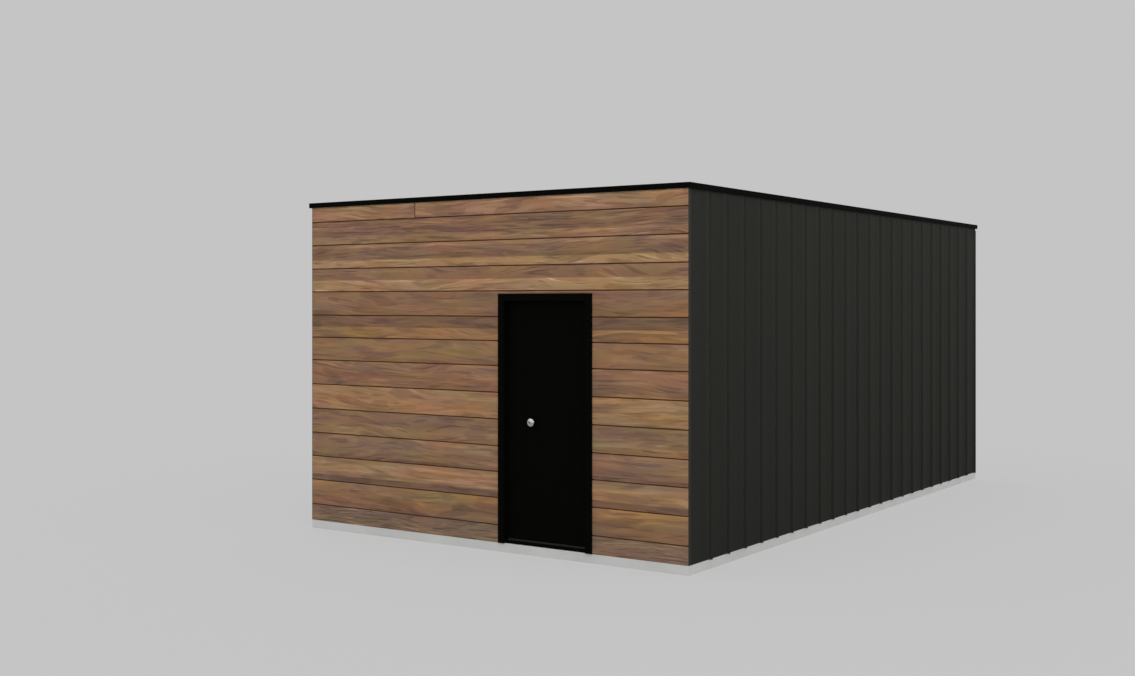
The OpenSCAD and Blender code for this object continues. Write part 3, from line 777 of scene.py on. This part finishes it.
class HOME_OT_knobs(bpy.types.Operator):
    """Turn the knobs, with a key plug in the outer one and a thumb turn on the inner one"""
    bl_idname = "home.knobs"
    bl_label = "Knobs"

    def execute(self, context):
        look = context.scene.home_knob
        for node, outwards in (("outer_knob", -1), ("inner_knob", 1)):
            low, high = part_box(node)
            centre = (low + high) / 2
            foot = high.y if outwards < 0 else low.y
            reach, radius = high.y - low.y, (high.z - low.z) / 2
            # Local X runs along the wall, local Y up and local Z away from the leaf.
            place = Matrix.Translation((centre.x, foot, centre.z)) @ Matrix((
                (-outwards, 0, 0, 0), (0, 0, outwards, 0), (0, 1, 0, 0), (0, 0, 0, 1)))
            bm = bmesh.new()
            lathe(bm, knob_outline(look, radius, reach), place)
            if outwards < 0:
                bm.from_mesh(keyed_plug(look, reach, place))
                # The shutter is black. This is painted shade that darkens the keyway past its own shade, and
                # it stands in for the dark reflection across the knob.
                block(bm, (0, 0, reach - 3.6 * MM), SHADE_SHUTTER, place, KEY_TURN, finish=1)
            else:
                well, foot, face = look.plug / 2, reach - 5.5 * MM, reach - 1 * MM
                lathe(bm, [(0, foot), (well, foot), (well, face - 1 * MM), (well - 1 * MM, face), (0, face)],
                      place)
                turn = block(bm, (0, 0, reach - 3 * MM), THUMB_TURN, place)
                edges = list({e for v in turn for e in v.link_edges})
                bmesh.ops.bevel(bm, geom=edges, offset=1.2 * MM, segments=3, profile=0.5, affect="EDGES")
            knob = new_piece("turned_" + node, bm, finishes()["polished_steel"], finishes()["black_sheet"])
            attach(knob, DOOR)
            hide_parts(node)
        return {"FINISHED"}


# ---------------------------------------------------------------- finishes of the CAD pieces

FINISH_OF_SLOT = {
    "concrete": "precast_concrete",
    "floor": "oak_planks",
    "wall_core": "sheathing_board",
    "timber": "walnut_boards",
    "charcoal_metal": "charcoal_sheet",
    "black_metal": "black_sheet",
    "lining": "painted_lining",
    "membrane": "roofing_membrane",
    "steel": "bright_zinc_steel",
}
# The door and its frame are powder-coated, and the copings of the same slot are coil-coated.
POWDER_COATED = ("door_jamb_left", "door_jamb_right", "door_head", "door_threshold", "door_leaf")


class HOME_OT_finishes(bpy.types.Operator):
    """Give every CAD piece the finish of its material slot"""
    bl_idname = "home.finishes"
    bl_label = "Finishes"

    def execute(self, context):
        made = finishes()
        for row in frame["record"]["subparts"]:
            finish = FINISH_OF_SLOT[row["material_slot"]]
            if row["node"] in POWDER_COATED:
                finish = "black_powder_coat"
            slots = NODES[row["node"]].data.materials
            slots.clear()
            slots.append(made[finish])
        return {"FINISHED"}


# ---------------------------------------------------------------- pieces grown by Geometry Nodes

def new_tree(name, **sizes):
    """A Geometry Nodes tree with an input for each size, given with its default, and one for the material."""
    tree = bpy.data.node_groups.new(name, "GeometryNodeTree")
    sockets = tree.interface
    sockets.new_socket("Geometry", in_out="INPUT", socket_type="NodeSocketGeometry")
    for size, value in sizes.items():
        socket = sockets.new_socket(size.replace("_", " "), in_out="INPUT", socket_type="NodeSocketFloat")
        socket.default_value = value
    sockets.new_socket("Material", in_out="INPUT", socket_type="NodeSocketMaterial")
    sockets.new_socket("Geometry", in_out="OUTPUT", socket_type="NodeSocketGeometry")
    return tree, tree.nodes.new("NodeGroupInput").outputs


def finish_tree(tree, given, shape):
    """Ends a tree: makes instances real and gives them their material."""
    real = add(tree, "GeometryNodeRealizeInstances", {"Geometry": shape}).outputs[0]
    coated = add(tree, "GeometryNodeSetMaterial", {"Geometry": real, "Material": given["Material"]})
    add(tree, "NodeGroupOutput", {"Geometry": coated.outputs[0]})
    return tree


def grow(name, seeds, tree, finish, **sizes):
    """Runs a tree on a mesh of points or edges, and keeps the result as a plain mesh."""
    piece = bpy.data.objects.new(name, seeds)
    bpy.context.scene.collection.objects.link(piece)
    growth = piece.modifiers.new(name, "NODES")
    growth.node_group = tree
    sizes["Material"] = finishes()[finish]
    for socket in tree.interface.items_tree:
        size = socket.name.replace(" ", "_")
        if socket.in_out == "INPUT" and size in sizes:
            growth[socket.identifier] = sizes[size]
    grown = bpy.data.meshes.new_from_object(piece.evaluated_get(bpy.context.evaluated_depsgraph_get()))
    piece.modifiers.remove(growth)
    if not grown.polygons:
        raise RuntimeError(name + " came out empty")
    piece.data = grown
    grown.name = name
    grown.set_sharp_from_angle(angle=SHARP)
    return piece


def point_mesh(name, points, **layers):
    """A mesh of loose points, with vectors or numbers stored on them by name."""
    mesh = bpy.data.meshes.new(name)
    mesh.from_pydata(points, [], [])
    for layer, values in layers.items():
        kind, field = ("FLOAT_VECTOR", "vector") if hasattr(values[0], "__len__") else ("FLOAT", "value")
        stored = mesh.attributes.new(layer, kind, "POINT")
        for n, value in enumerate(values):
            setattr(stored.data[n], field, value)
    return mesh


def blocks_tree():
    """Blocks of a size stored on each point, chamfered round their tops, that rise along Y by the slope."""
    tree, given = new_tree("chamfered_blocks", Chamfer=1.5 * MM, Slope=0.0)
    size, centre = (
        add(tree, "GeometryNodeInputNamedAttribute", {"Name": name}, data_type="FLOAT_VECTOR").outputs[0]
        for name in ("size", "centre"))
    unit = add(tree, "GeometryNodeMeshCube").outputs["Mesh"]
    blocks = add(tree, "GeometryNodeInstanceOnPoints", {
        "Points": given["Geometry"], "Instance": unit, "Scale": size}).outputs[0]
    blocks = add(tree, "GeometryNodeRealizeInstances", {"Geometry": blocks}).outputs[0]
    normal = add(tree, SPLIT, {0: add(tree, "GeometryNodeInputNormal").outputs[0]}).outputs["Z"]
    upward = add(tree, "FunctionNodeCompare", {0: normal, 1: 0.5}, operation="GREATER_THAN").outputs[0]
    raised = add(tree, "GeometryNodeExtrudeMesh", {
        "Mesh": blocks, "Selection": upward, "Offset Scale": given["Chamfer"]}, mode="FACES").outputs
    at = add(tree, "GeometryNodeInputPosition").outputs[0]
    away = add(tree, VECTOR, {0: at, 1: centre}, operation="SUBTRACT").outputs[0]
    side = add(tree, VECTOR, {0: away}, operation="SIGN").outputs[0]
    inwards = add(tree, VECTOR, {0: side, 1: (-1.0, -1.0, 0.0)}, operation="MULTIPLY").outputs[0]
    inwards = add(tree, VECTOR, {0: inwards, 3: given["Chamfer"]}, operation="SCALE").outputs[0]
    shaped = add(tree, "GeometryNodeSetPosition", {
        "Geometry": raised["Mesh"], "Selection": raised["Top"], "Offset": inwards}).outputs[0]
    # A shear about the block's centre stands for a turn, and is the same at slopes this low.
    rise = add(tree, SPLIT, {0: away}).outputs["Y"]
    rise = add(tree, MATH, {0: rise, 1: given["Slope"]}, operation="MULTIPLY").outputs[0]
    lift = add(tree, "ShaderNodeCombineXYZ", {"Z": rise}).outputs[0]
    shaped = add(tree, "GeometryNodeSetPosition", {"Geometry": shaped, "Offset": lift}).outputs[0]
    return finish_tree(tree, given, shaped)


def screws_tree(name, hexagonal):
    """Screw heads on points, standing along the direction stored on each: hexagonal with a washer, or flat
    with a cross recess."""
    tree, given = new_tree(name, Head=8 * MM, Height=1 * MM)
    radius, half = (add(tree, MATH, {0: given[size], 1: 0.5}, operation="MULTIPLY").outputs[0]
                    for size in ("Head", "Height"))
    up = add(tree, "ShaderNodeCombineXYZ", {"Z": half}).outputs[0]
    head = add(tree, "GeometryNodeMeshCylinder", {
        "Vertices": 6 if hexagonal else 20, "Radius": radius, "Depth": given["Height"]}).outputs["Mesh"]
    if hexagonal:
        wide, thin = (add(tree, MATH, {0: size, 1: share}, operation="MULTIPLY").outputs[0]
                      for size, share in ((radius, 1.7), (given["Height"], 0.3)))
        washer = add(tree, "GeometryNodeMeshCylinder", {
            "Vertices": 20, "Radius": wide, "Depth": thin}).outputs["Mesh"]
        head = add(tree, "GeometryNodeTransform", {"Geometry": head, "Translation": up}).outputs[0]
        head = add(tree, "GeometryNodeJoinGeometry", {"Geometry": head}).outputs[0]
        tree.links.new(washer, head.node.inputs[0])
    else:
        arm, width = (add(tree, MATH, {0: given["Head"], 1: share}, operation="MULTIPLY").outputs[0]
                      for share in (0.55, 0.13))
        for x, y in ((arm, width), (width, arm)):
            size = add(tree, "ShaderNodeCombineXYZ", {"X": x, "Y": y, "Z": given["Height"]}).outputs[0]
            bar = add(tree, "GeometryNodeMeshCube", {"Size": size}).outputs["Mesh"]
            bar = add(tree, "GeometryNodeTransform", {"Geometry": bar, "Translation": up}).outputs[0]
            head = add(tree, "GeometryNodeMeshBoolean", {
                "Mesh 1": head, "Mesh 2": bar}, operation="DIFFERENCE", solver="MANIFOLD").outputs["Mesh"]
    facing = add(tree, "GeometryNodeInputNamedAttribute", {"Name": "facing"}, data_type="FLOAT_VECTOR")
    turn = add(tree, "FunctionNodeAlignRotationToVector", {"Vector": facing.outputs[0]}, axis="Z").outputs[0]
    heads = add(tree, "GeometryNodeInstanceOnPoints", {
        "Points": given["Geometry"], "Instance": head, "Rotation": turn}).outputs[0]
    return finish_tree(tree, given, heads)


# The narrowest and shortest strip of a plank worth laying.
OFFCUT = 20 * MM


def strips(start, stop, width):
    """Edges of the strips that fill a width, the last one cut to fit."""
    while start < stop - OFFCUT:
        end = min(start + width, stop)
        yield start, end
        start = end


def plank_rows(look, low, high, doorway_low, doorway_high):
    """Lowest and highest corner, in plan, of each plank that runs along Y between the walls."""
    pick = random.Random(look.seed)
    for x0, x1 in strips(low.x, high.x, look.plank_w):
        y = low.y - pick.uniform(0.1, 0.9) * look.plank_l
        while y < high.y:
            yield x0, max(y, low.y), x1, min(y + look.plank_l, high.y)
            y += look.plank_l
    # Short planks fill the doorway.
    for x0, x1 in strips(doorway_low.x, doorway_high.x, look.plank_w):
        yield x0, doorway_low.y, x1, doorway_high.y


class HOME_OT_floor(bpy.types.Operator):
    """Lay chamfered oak planks over the room and into the doorway"""
    bl_idname = "home.floor"
    bl_label = "Floor planks"

    def execute(self, context):
        look = context.scene.home_floor
        low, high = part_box("floor_deck")
        room_y = min(v.co.y for v in NODES["floor_deck"].data.vertices if v.co.x < low.x + MM)
        mouth = [v.co.x for v in NODES["floor_deck"].data.vertices if v.co.y < low.y + MM]
        room_low = Vector((low.x, room_y, low.z))
        mouth_low = Vector((min(mouth), low.y, low.z))
        mouth_high = Vector((max(mouth), room_y, high.z))
        thick = high.z - low.z - look.chamfer
        points, sizes, shifts = [], [], []
        for x0, y0, x1, y1 in plank_rows(look, room_low, high, mouth_low, mouth_high):
            if y1 - y0 < OFFCUT:
                continue
            points.append(((x0 + x1) / 2, (y0 + y1) / 2, low.z + thick / 2))
            sizes.append((x1 - x0 - look.gap, y1 - y0 - look.gap, thick))
            # A place of the plank's own in the grain.
            shifts.append(7.3 * len(points) % 91)
        seeds = point_mesh("floor_planks", points, size=sizes, centre=points, plank_shift=shifts)
        planks = grow("floor_planks", seeds, blocks_tree(), "oak_planks", Chamfer=look.chamfer)
        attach(planks, BUILDING)
        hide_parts("floor_deck")
        return {"FINISHED"}


STOP_GAP = 5 * MM       # air between the door's stop and the leaf
STRIP = 1.8 * MM        # thickness of the strip on the threshold
STRIP_INSET = 22 * MM   # distance of its ends from the jambs


class HOME_OT_door_trim(bpy.types.Operator):
    """Run a seal round the door's stop and lay a strip on the threshold's slope"""
    bl_idname = "home.door_trim"
    bl_label = "Door seal and strip"

    def execute(self, context):
        look = context.scene.home_fixing
        left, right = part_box("door_jamb_left")[1].x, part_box("door_jamb_right")[0].x
        leaf_low, leaf_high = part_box("door_leaf")
        low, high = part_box("door_threshold")
        # The seal lies on the stop, before the leaf, halfway between the leaf's edge and the stop's.
        x0, x1 = (left + leaf_low.x) / 2, (right + leaf_high.x) / 2
        z0 = high.z + 1 * MM
        z1 = (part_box("door_head")[0].z + leaf_high.z) / 2
        stop = leaf_low.y - STOP_GAP
        y = stop + look.seal / 2
        path = bpy.data.meshes.new("door_seal")
        path.from_pydata([(x0, y, z0), (x0, y, z1), (x1, y, z1), (x1, y, z0)], [(0, 1), (1, 2), (2, 3)], [])
        tree, given = new_tree("swept_seal", Diameter=4.4 * MM)
        line = add(tree, "GeometryNodeMeshToCurve", {"Mesh": given["Geometry"]}).outputs[0]
        radius = add(tree, MATH, {0: given["Diameter"], 1: 0.5}, operation="MULTIPLY").outputs[0]
        ring = add(tree, "GeometryNodeCurvePrimitiveCircle", {
            "Resolution": 12, "Radius": radius}, mode="RADIUS").outputs["Curve"]
        swept = add(tree, "GeometryNodeCurveToMesh", {
            "Curve": line, "Profile Curve": ring, "Fill Caps": True}).outputs[0]
        seal = grow("door_seal", path, finish_tree(tree, given, swept), "soft_rubber", Diameter=look.seal)
        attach(seal, BUILDING)

        # The strip lies on the threshold's slope, and ends a little before the jambs.
        nose_z = max(v.co.z for v in NODES["door_threshold"].data.vertices if v.co.y < low.y + MM)
        x, heel_y = left + STRIP_INSET, stop - 1 * MM
        bm = bmesh.new()
        prism(bm, [(x, low.y, nose_z), (x, low.y, nose_z + STRIP), (x, heel_y, high.z + STRIP),
                   (x, heel_y, high.z)], (right - left - 2 * STRIP_INSET, 0, 0))
        bmesh.ops.recalc_face_normals(bm, faces=bm.faces)
        bmesh.ops.bevel(bm, geom=bm.edges[:], offset=0.3 * MM, segments=1, affect="EDGES")
        strip = new_piece("threshold_strip", bm, finishes()["anodised_aluminium"])
        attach(strip, BUILDING)
        return {"FINISHED"}


def spread(start, stop, pitch):
    """Places at about the pitch, with half a pitch left at both ends."""
    count = max(1, round((stop - start) / pitch))
    return [start + (stop - start) * (n + 0.5) / count for n in range(count)]


def hinge_levels():
    """Lowest and highest point of each hinge's plates."""
    levels = sorted({round(v.co.z, 5) for v in NODES["hinge_frame_plates"].data.vertices})
    breaks = [0, *(n for n in range(1, len(levels)) if levels[n] - levels[n - 1] > 0.2), len(levels)]
    return [(levels[a], levels[b - 1]) for a, b in zip(breaks, breaks[1:])]


HINGE_SCREWS = 4                    # in each plate, in a zigzag
ZIGZAG = (25 * MM, 11 * MM)         # their distances behind the plate's front edge
COPING_LEG = 40 * MM                # the coping's inner leg
COPING_SCREW_RISE = 13 * MM         # height of its screws above the leg's foot
OUTLET_SCREWS = 6
OUTLET_RIM = 12 * MM                # from the flange's edge to the ring of its screws
FLANGE = 3.9 * MM
UPSTAND = 20 * MM                   # the least height by which the membrane's floor lies below its top
LAP_THICKNESS = 1 * MM


class HOME_OT_fixings(bpy.types.Operator):
    """Put the screws in the hinges, the copings and the outlet, and lay the laps of the roof membrane"""
    bl_idname = "home.fixings"
    bl_label = "Fixings and laps"

    def execute(self, context):
        look = context.scene.home_fixing
        flat, hexed = screws_tree("countersunk_screws", False), screws_tree("washer_screws", True)
        for node, body, name, way in (("hinge_frame_plates", BUILDING, "hinge_frame_screws", -1),
                                      ("hinge_leaf_plates", DOOR, "hinge_leaf_screws", 1)):
            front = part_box(node)[0].y
            plates = [v.co.x for v in NODES[node].data.vertices if v.co.y < front + MM]
            x = min(plates) if way < 0 else max(plates)
            points = [(x, front + ZIGZAG[n % 2], z) for z0, z1 in hinge_levels()
                      for n, z in enumerate(spread(z0, z1, (z1 - z0) / HINGE_SCREWS))]
            seeds = point_mesh(name, points, facing=[(way, 0, 0)] * len(points))
            screws = grow(name, seeds, flat, "bright_zinc_steel", Head=8 * MM, Height=0.36 * MM)
            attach(screws, body)

        # Each coping is screwed to the parapet through its inner leg.
        points, facing = [], []
        for node, across, way in (("front_coping", 1, 1), ("rear_coping", 1, -1),
                                  ("right_coping", 0, -1), ("left_coping", 0, 1)):
            low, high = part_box(node)
            run = 1 - across
            margin = high[across] - low[across]
            inner = (high if way > 0 else low)[across]
            z = max(low.z, high.z - COPING_LEG) + COPING_SCREW_RISE
            for place in spread(low[run] + margin, high[run] - margin, look.coping_pitch):
                points.append((place, inner, z) if across else (inner, place, z))
                facing.append((0, way, 0) if across else (way, 0, 0))
        seeds = point_mesh("coping_screws", points, facing=facing)
        screws = grow("coping_screws", seeds, hexed, "bright_zinc_steel", Head=9 * MM, Height=5 * MM)
        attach(screws, BUILDING)

        # The outlet's flange is screwed down through the membrane.
        low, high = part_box("roof_outlet")
        centre, ring = (low + high) / 2, (high.x - low.x) / 2 - OUTLET_RIM
        turns = [math.tau * n / OUTLET_SCREWS for n in range(OUTLET_SCREWS)]
        points = [(centre.x + ring * math.cos(turn), centre.y + ring * math.sin(turn), low.z + FLANGE)
                  for turn in turns]
        seeds = point_mesh("outlet_screws", points, facing=[(0, 0, 1)] * len(points))
        screws = grow("outlet_screws", seeds, hexed, "bright_zinc_steel", Head=6 * MM, Height=3 * MM)
        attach(screws, BUILDING)

        # The membrane's widths overlap, and each lap is welded down.
        verts = [v.co for v in NODES["roof_membrane"].data.vertices]
        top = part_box("roof_membrane")[1].z
        inner = sorted({round(co.x, 5) for co in verts})[1]
        floor = [co for co in verts if abs(co.x - inner) < MM / 10 and co.z < top - UPSTAND]
        front, rear = min(floor, key=lambda co: co.y), max(floor, key=lambda co: co.y)
        slope = (rear.z - front.z) / (rear.y - front.y)
        points = [(0.0, y, front.z + slope * (y - front.y) + 0.6 * LAP_THICKNESS)
                  for y in spread(front.y, rear.y, look.lap_pitch)]
        sizes = [(-2 * inner - 1 * MM, look.lap, LAP_THICKNESS)] * len(points)
        seeds = point_mesh("membrane_laps", points, size=sizes, centre=points)
        laps = grow("membrane_laps", seeds, blocks_tree(), "roofing_membrane", Chamfer=0.8 * MM, Slope=slope)
        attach(laps, BUILDING)
        return {"FINISHED"}


# ---------------------------------------------------------------- stage

# Broad lights far off: the direction that each comes from, and the angle that it fills, in degrees.
LIGHTS = {
    "front": (Vector((0.0, -0.574, 0.819)).normalized(), 120),
    "side": (Vector((0.80, -0.20, 0.566)).normalized(), 90),
    "rear": (Vector((-0.55, 0.55, 0.63)).normalized(), 90),
}
# The floor's shadow fades out between these distances from the home's middle, and this share of what is
# seen of the floor is the plain backdrop even near the home.
SHADOW_NEAR, SHADOW_FAR = 4.0, 11.0
PLAIN_SHARE = 0.85


def seen(tree):
    """1 for what the camera, mirrors and glass see, and 0 for the light that falls on the home."""
    rays = add(tree, "ShaderNodeLightPath").outputs
    share = rays["Is Camera Ray"]
    for ray in ("Is Glossy Ray", "Is Transmission Ray"):
        share = add(tree, MATH, {0: share, 1: rays[ray]}, operation="MAXIMUM").outputs[0]
    return share


class HOME_OT_stage(bpy.types.Operator):
    """Set up the floor, the even light, the soft lamps and the camera"""
    bl_idname = "home.stage"
    bl_label = "Stage"

    def execute(self, context):
        scene = context.scene
        look = scene.home_stage
        backdrop = opaque(look.backdrop)
        world = bpy.data.worlds.new("soft_studio")
        floor_paint = bpy.data.materials.new("floor_paint")
        for made in (world, floor_paint):
            made.use_nodes = True
            made.node_tree.nodes.clear()

        # Light comes evenly from all sides. The camera, mirrors and glass see the backdrop instead.
        tree = world.node_tree
        even = add(tree, "ShaderNodeBackground", {"Color": (1, 1, 1, 1), "Strength": look.even}).outputs[0]
        plain = add(tree, "ShaderNodeBackground", {"Color": backdrop, "Strength": 1.0}).outputs[0]
        mixed = add(tree, "ShaderNodeMixShader", {0: seen(tree), 1: even, 2: plain}).outputs[0]
        add(tree, "ShaderNodeOutputWorld", {"Surface": mixed})
        scene.world = world

        # A wide round floor of the backdrop's colour, which keeps a part of the home's shadow near it.
        tree = floor_paint.node_tree
        at = add(tree, "ShaderNodeTexCoord").outputs["Object"]
        away = add(tree, VECTOR, {0: at}, operation="LENGTH").outputs["Value"]
        share = add(tree, RANGE, {
            "Value": away, "From Min": SHADOW_NEAR, "From Max": SHADOW_FAR, "To Min": PLAIN_SHARE,
            "To Max": 1.0}, interpolation_type="SMOOTHSTEP").outputs[0]
        share = add(tree, MATH, {0: share, 1: seen(tree)}, operation="MULTIPLY").outputs[0]
        open_light = look.even + sum(
            getattr(look, name) * towards.z for name, (towards, _) in LIGHTS.items()) / math.pi
        matt = add(tree, "ShaderNodeBsdfDiffuse", {
            "Color": opaque([c / open_light for c in look.backdrop])}).outputs[0]
        plain = add(tree, "ShaderNodeEmission", {"Color": backdrop, "Strength": 1.0}).outputs[0]
        mixed = add(tree, "ShaderNodeMixShader", {0: share, 1: matt, 2: plain}).outputs[0]
        add(tree, "ShaderNodeOutputMaterial", {"Surface": mixed})
        bm = bmesh.new()
        bmesh.ops.create_circle(bm, cap_ends=True, radius=150.0, segments=96)
        floor = new_piece("studio_floor", bm, floor_paint)

        for name, (towards, angle) in LIGHTS.items():
            lamp = bpy.data.lights.new("soft_" + name, "SUN")
            lamp.energy = getattr(look, name)
            lamp.angle = math.radians(angle)
            holder = bpy.data.objects.new("soft_" + name, lamp)
            holder.location = 20 * towards
            holder.rotation_euler = towards.to_track_quat("Z", "Y").to_euler()
            scene.collection.objects.link(holder)

        camera = bpy.data.cameras.new("camera")
        camera.lens = look.lens
        camera.sensor_width = 36.0
        camera.shift_y = look.shift
        camera.clip_end = 500.0
        eye = bpy.data.objects.new("camera", camera)
        eye.location = look.eye
        eye.rotation_euler = (math.radians(90), 0, look.heading)
        scene.collection.objects.link(eye)
        scene.camera = eye

        scene.view_settings.view_transform = "Standard"
        return {"FINISHED"}


# ---------------------------------------------------------------- panel and registration

SETTINGS = {
    "home_timber": TimberSettings,
    "home_metal": MetalSettings,
    "home_knob": KnobSettings,
    "home_floor": FloorSettings,
    "home_fixing": FixingSettings,
    "home_stage": StageSettings,
}
OPERATORS = (HOME_OT_finishes, HOME_OT_timber, HOME_OT_knobs, HOME_OT_floor, HOME_OT_door_trim,
             HOME_OT_fixings, HOME_OT_stage)


class HOME_PT_panel(bpy.types.Panel):
    """Lists the steps and their settings"""
    bl_idname = "HOME_PT_panel"
    bl_label = "Modular home"
    bl_space_type = "VIEW_3D"
    bl_region_type = "UI"
    bl_category = "Home"

    def draw(self, context):
        for step in OPERATORS:
            self.layout.operator(step.bl_idname)
        for name, group in SETTINGS.items():
            box = self.layout.box()
            for field in group.__annotations__:
                box.prop(getattr(context.scene, name), field)


CLASSES = (*SETTINGS.values(), *OPERATORS, HOME_PT_panel)


def register():
    for cls in CLASSES:
        bpy.utils.register_class(cls)
    for name, group in SETTINGS.items():
        setattr(bpy.types.Scene, name, PointerProperty(type=group))


def unregister():
    for name in SETTINGS:
        delattr(bpy.types.Scene, name)
    for cls in reversed(CLASSES):
        bpy.utils.unregister_class(cls)


def main():
    register()
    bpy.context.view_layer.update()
    bpy.ops.home.finishes()
    bpy.ops.home.timber()
    bpy.ops.home.knobs()
    bpy.ops.home.floor()
    bpy.ops.home.door_trim()
    bpy.ops.home.fixings()
    bpy.ops.home.stage()


if __name__ == "__main__":
    main()
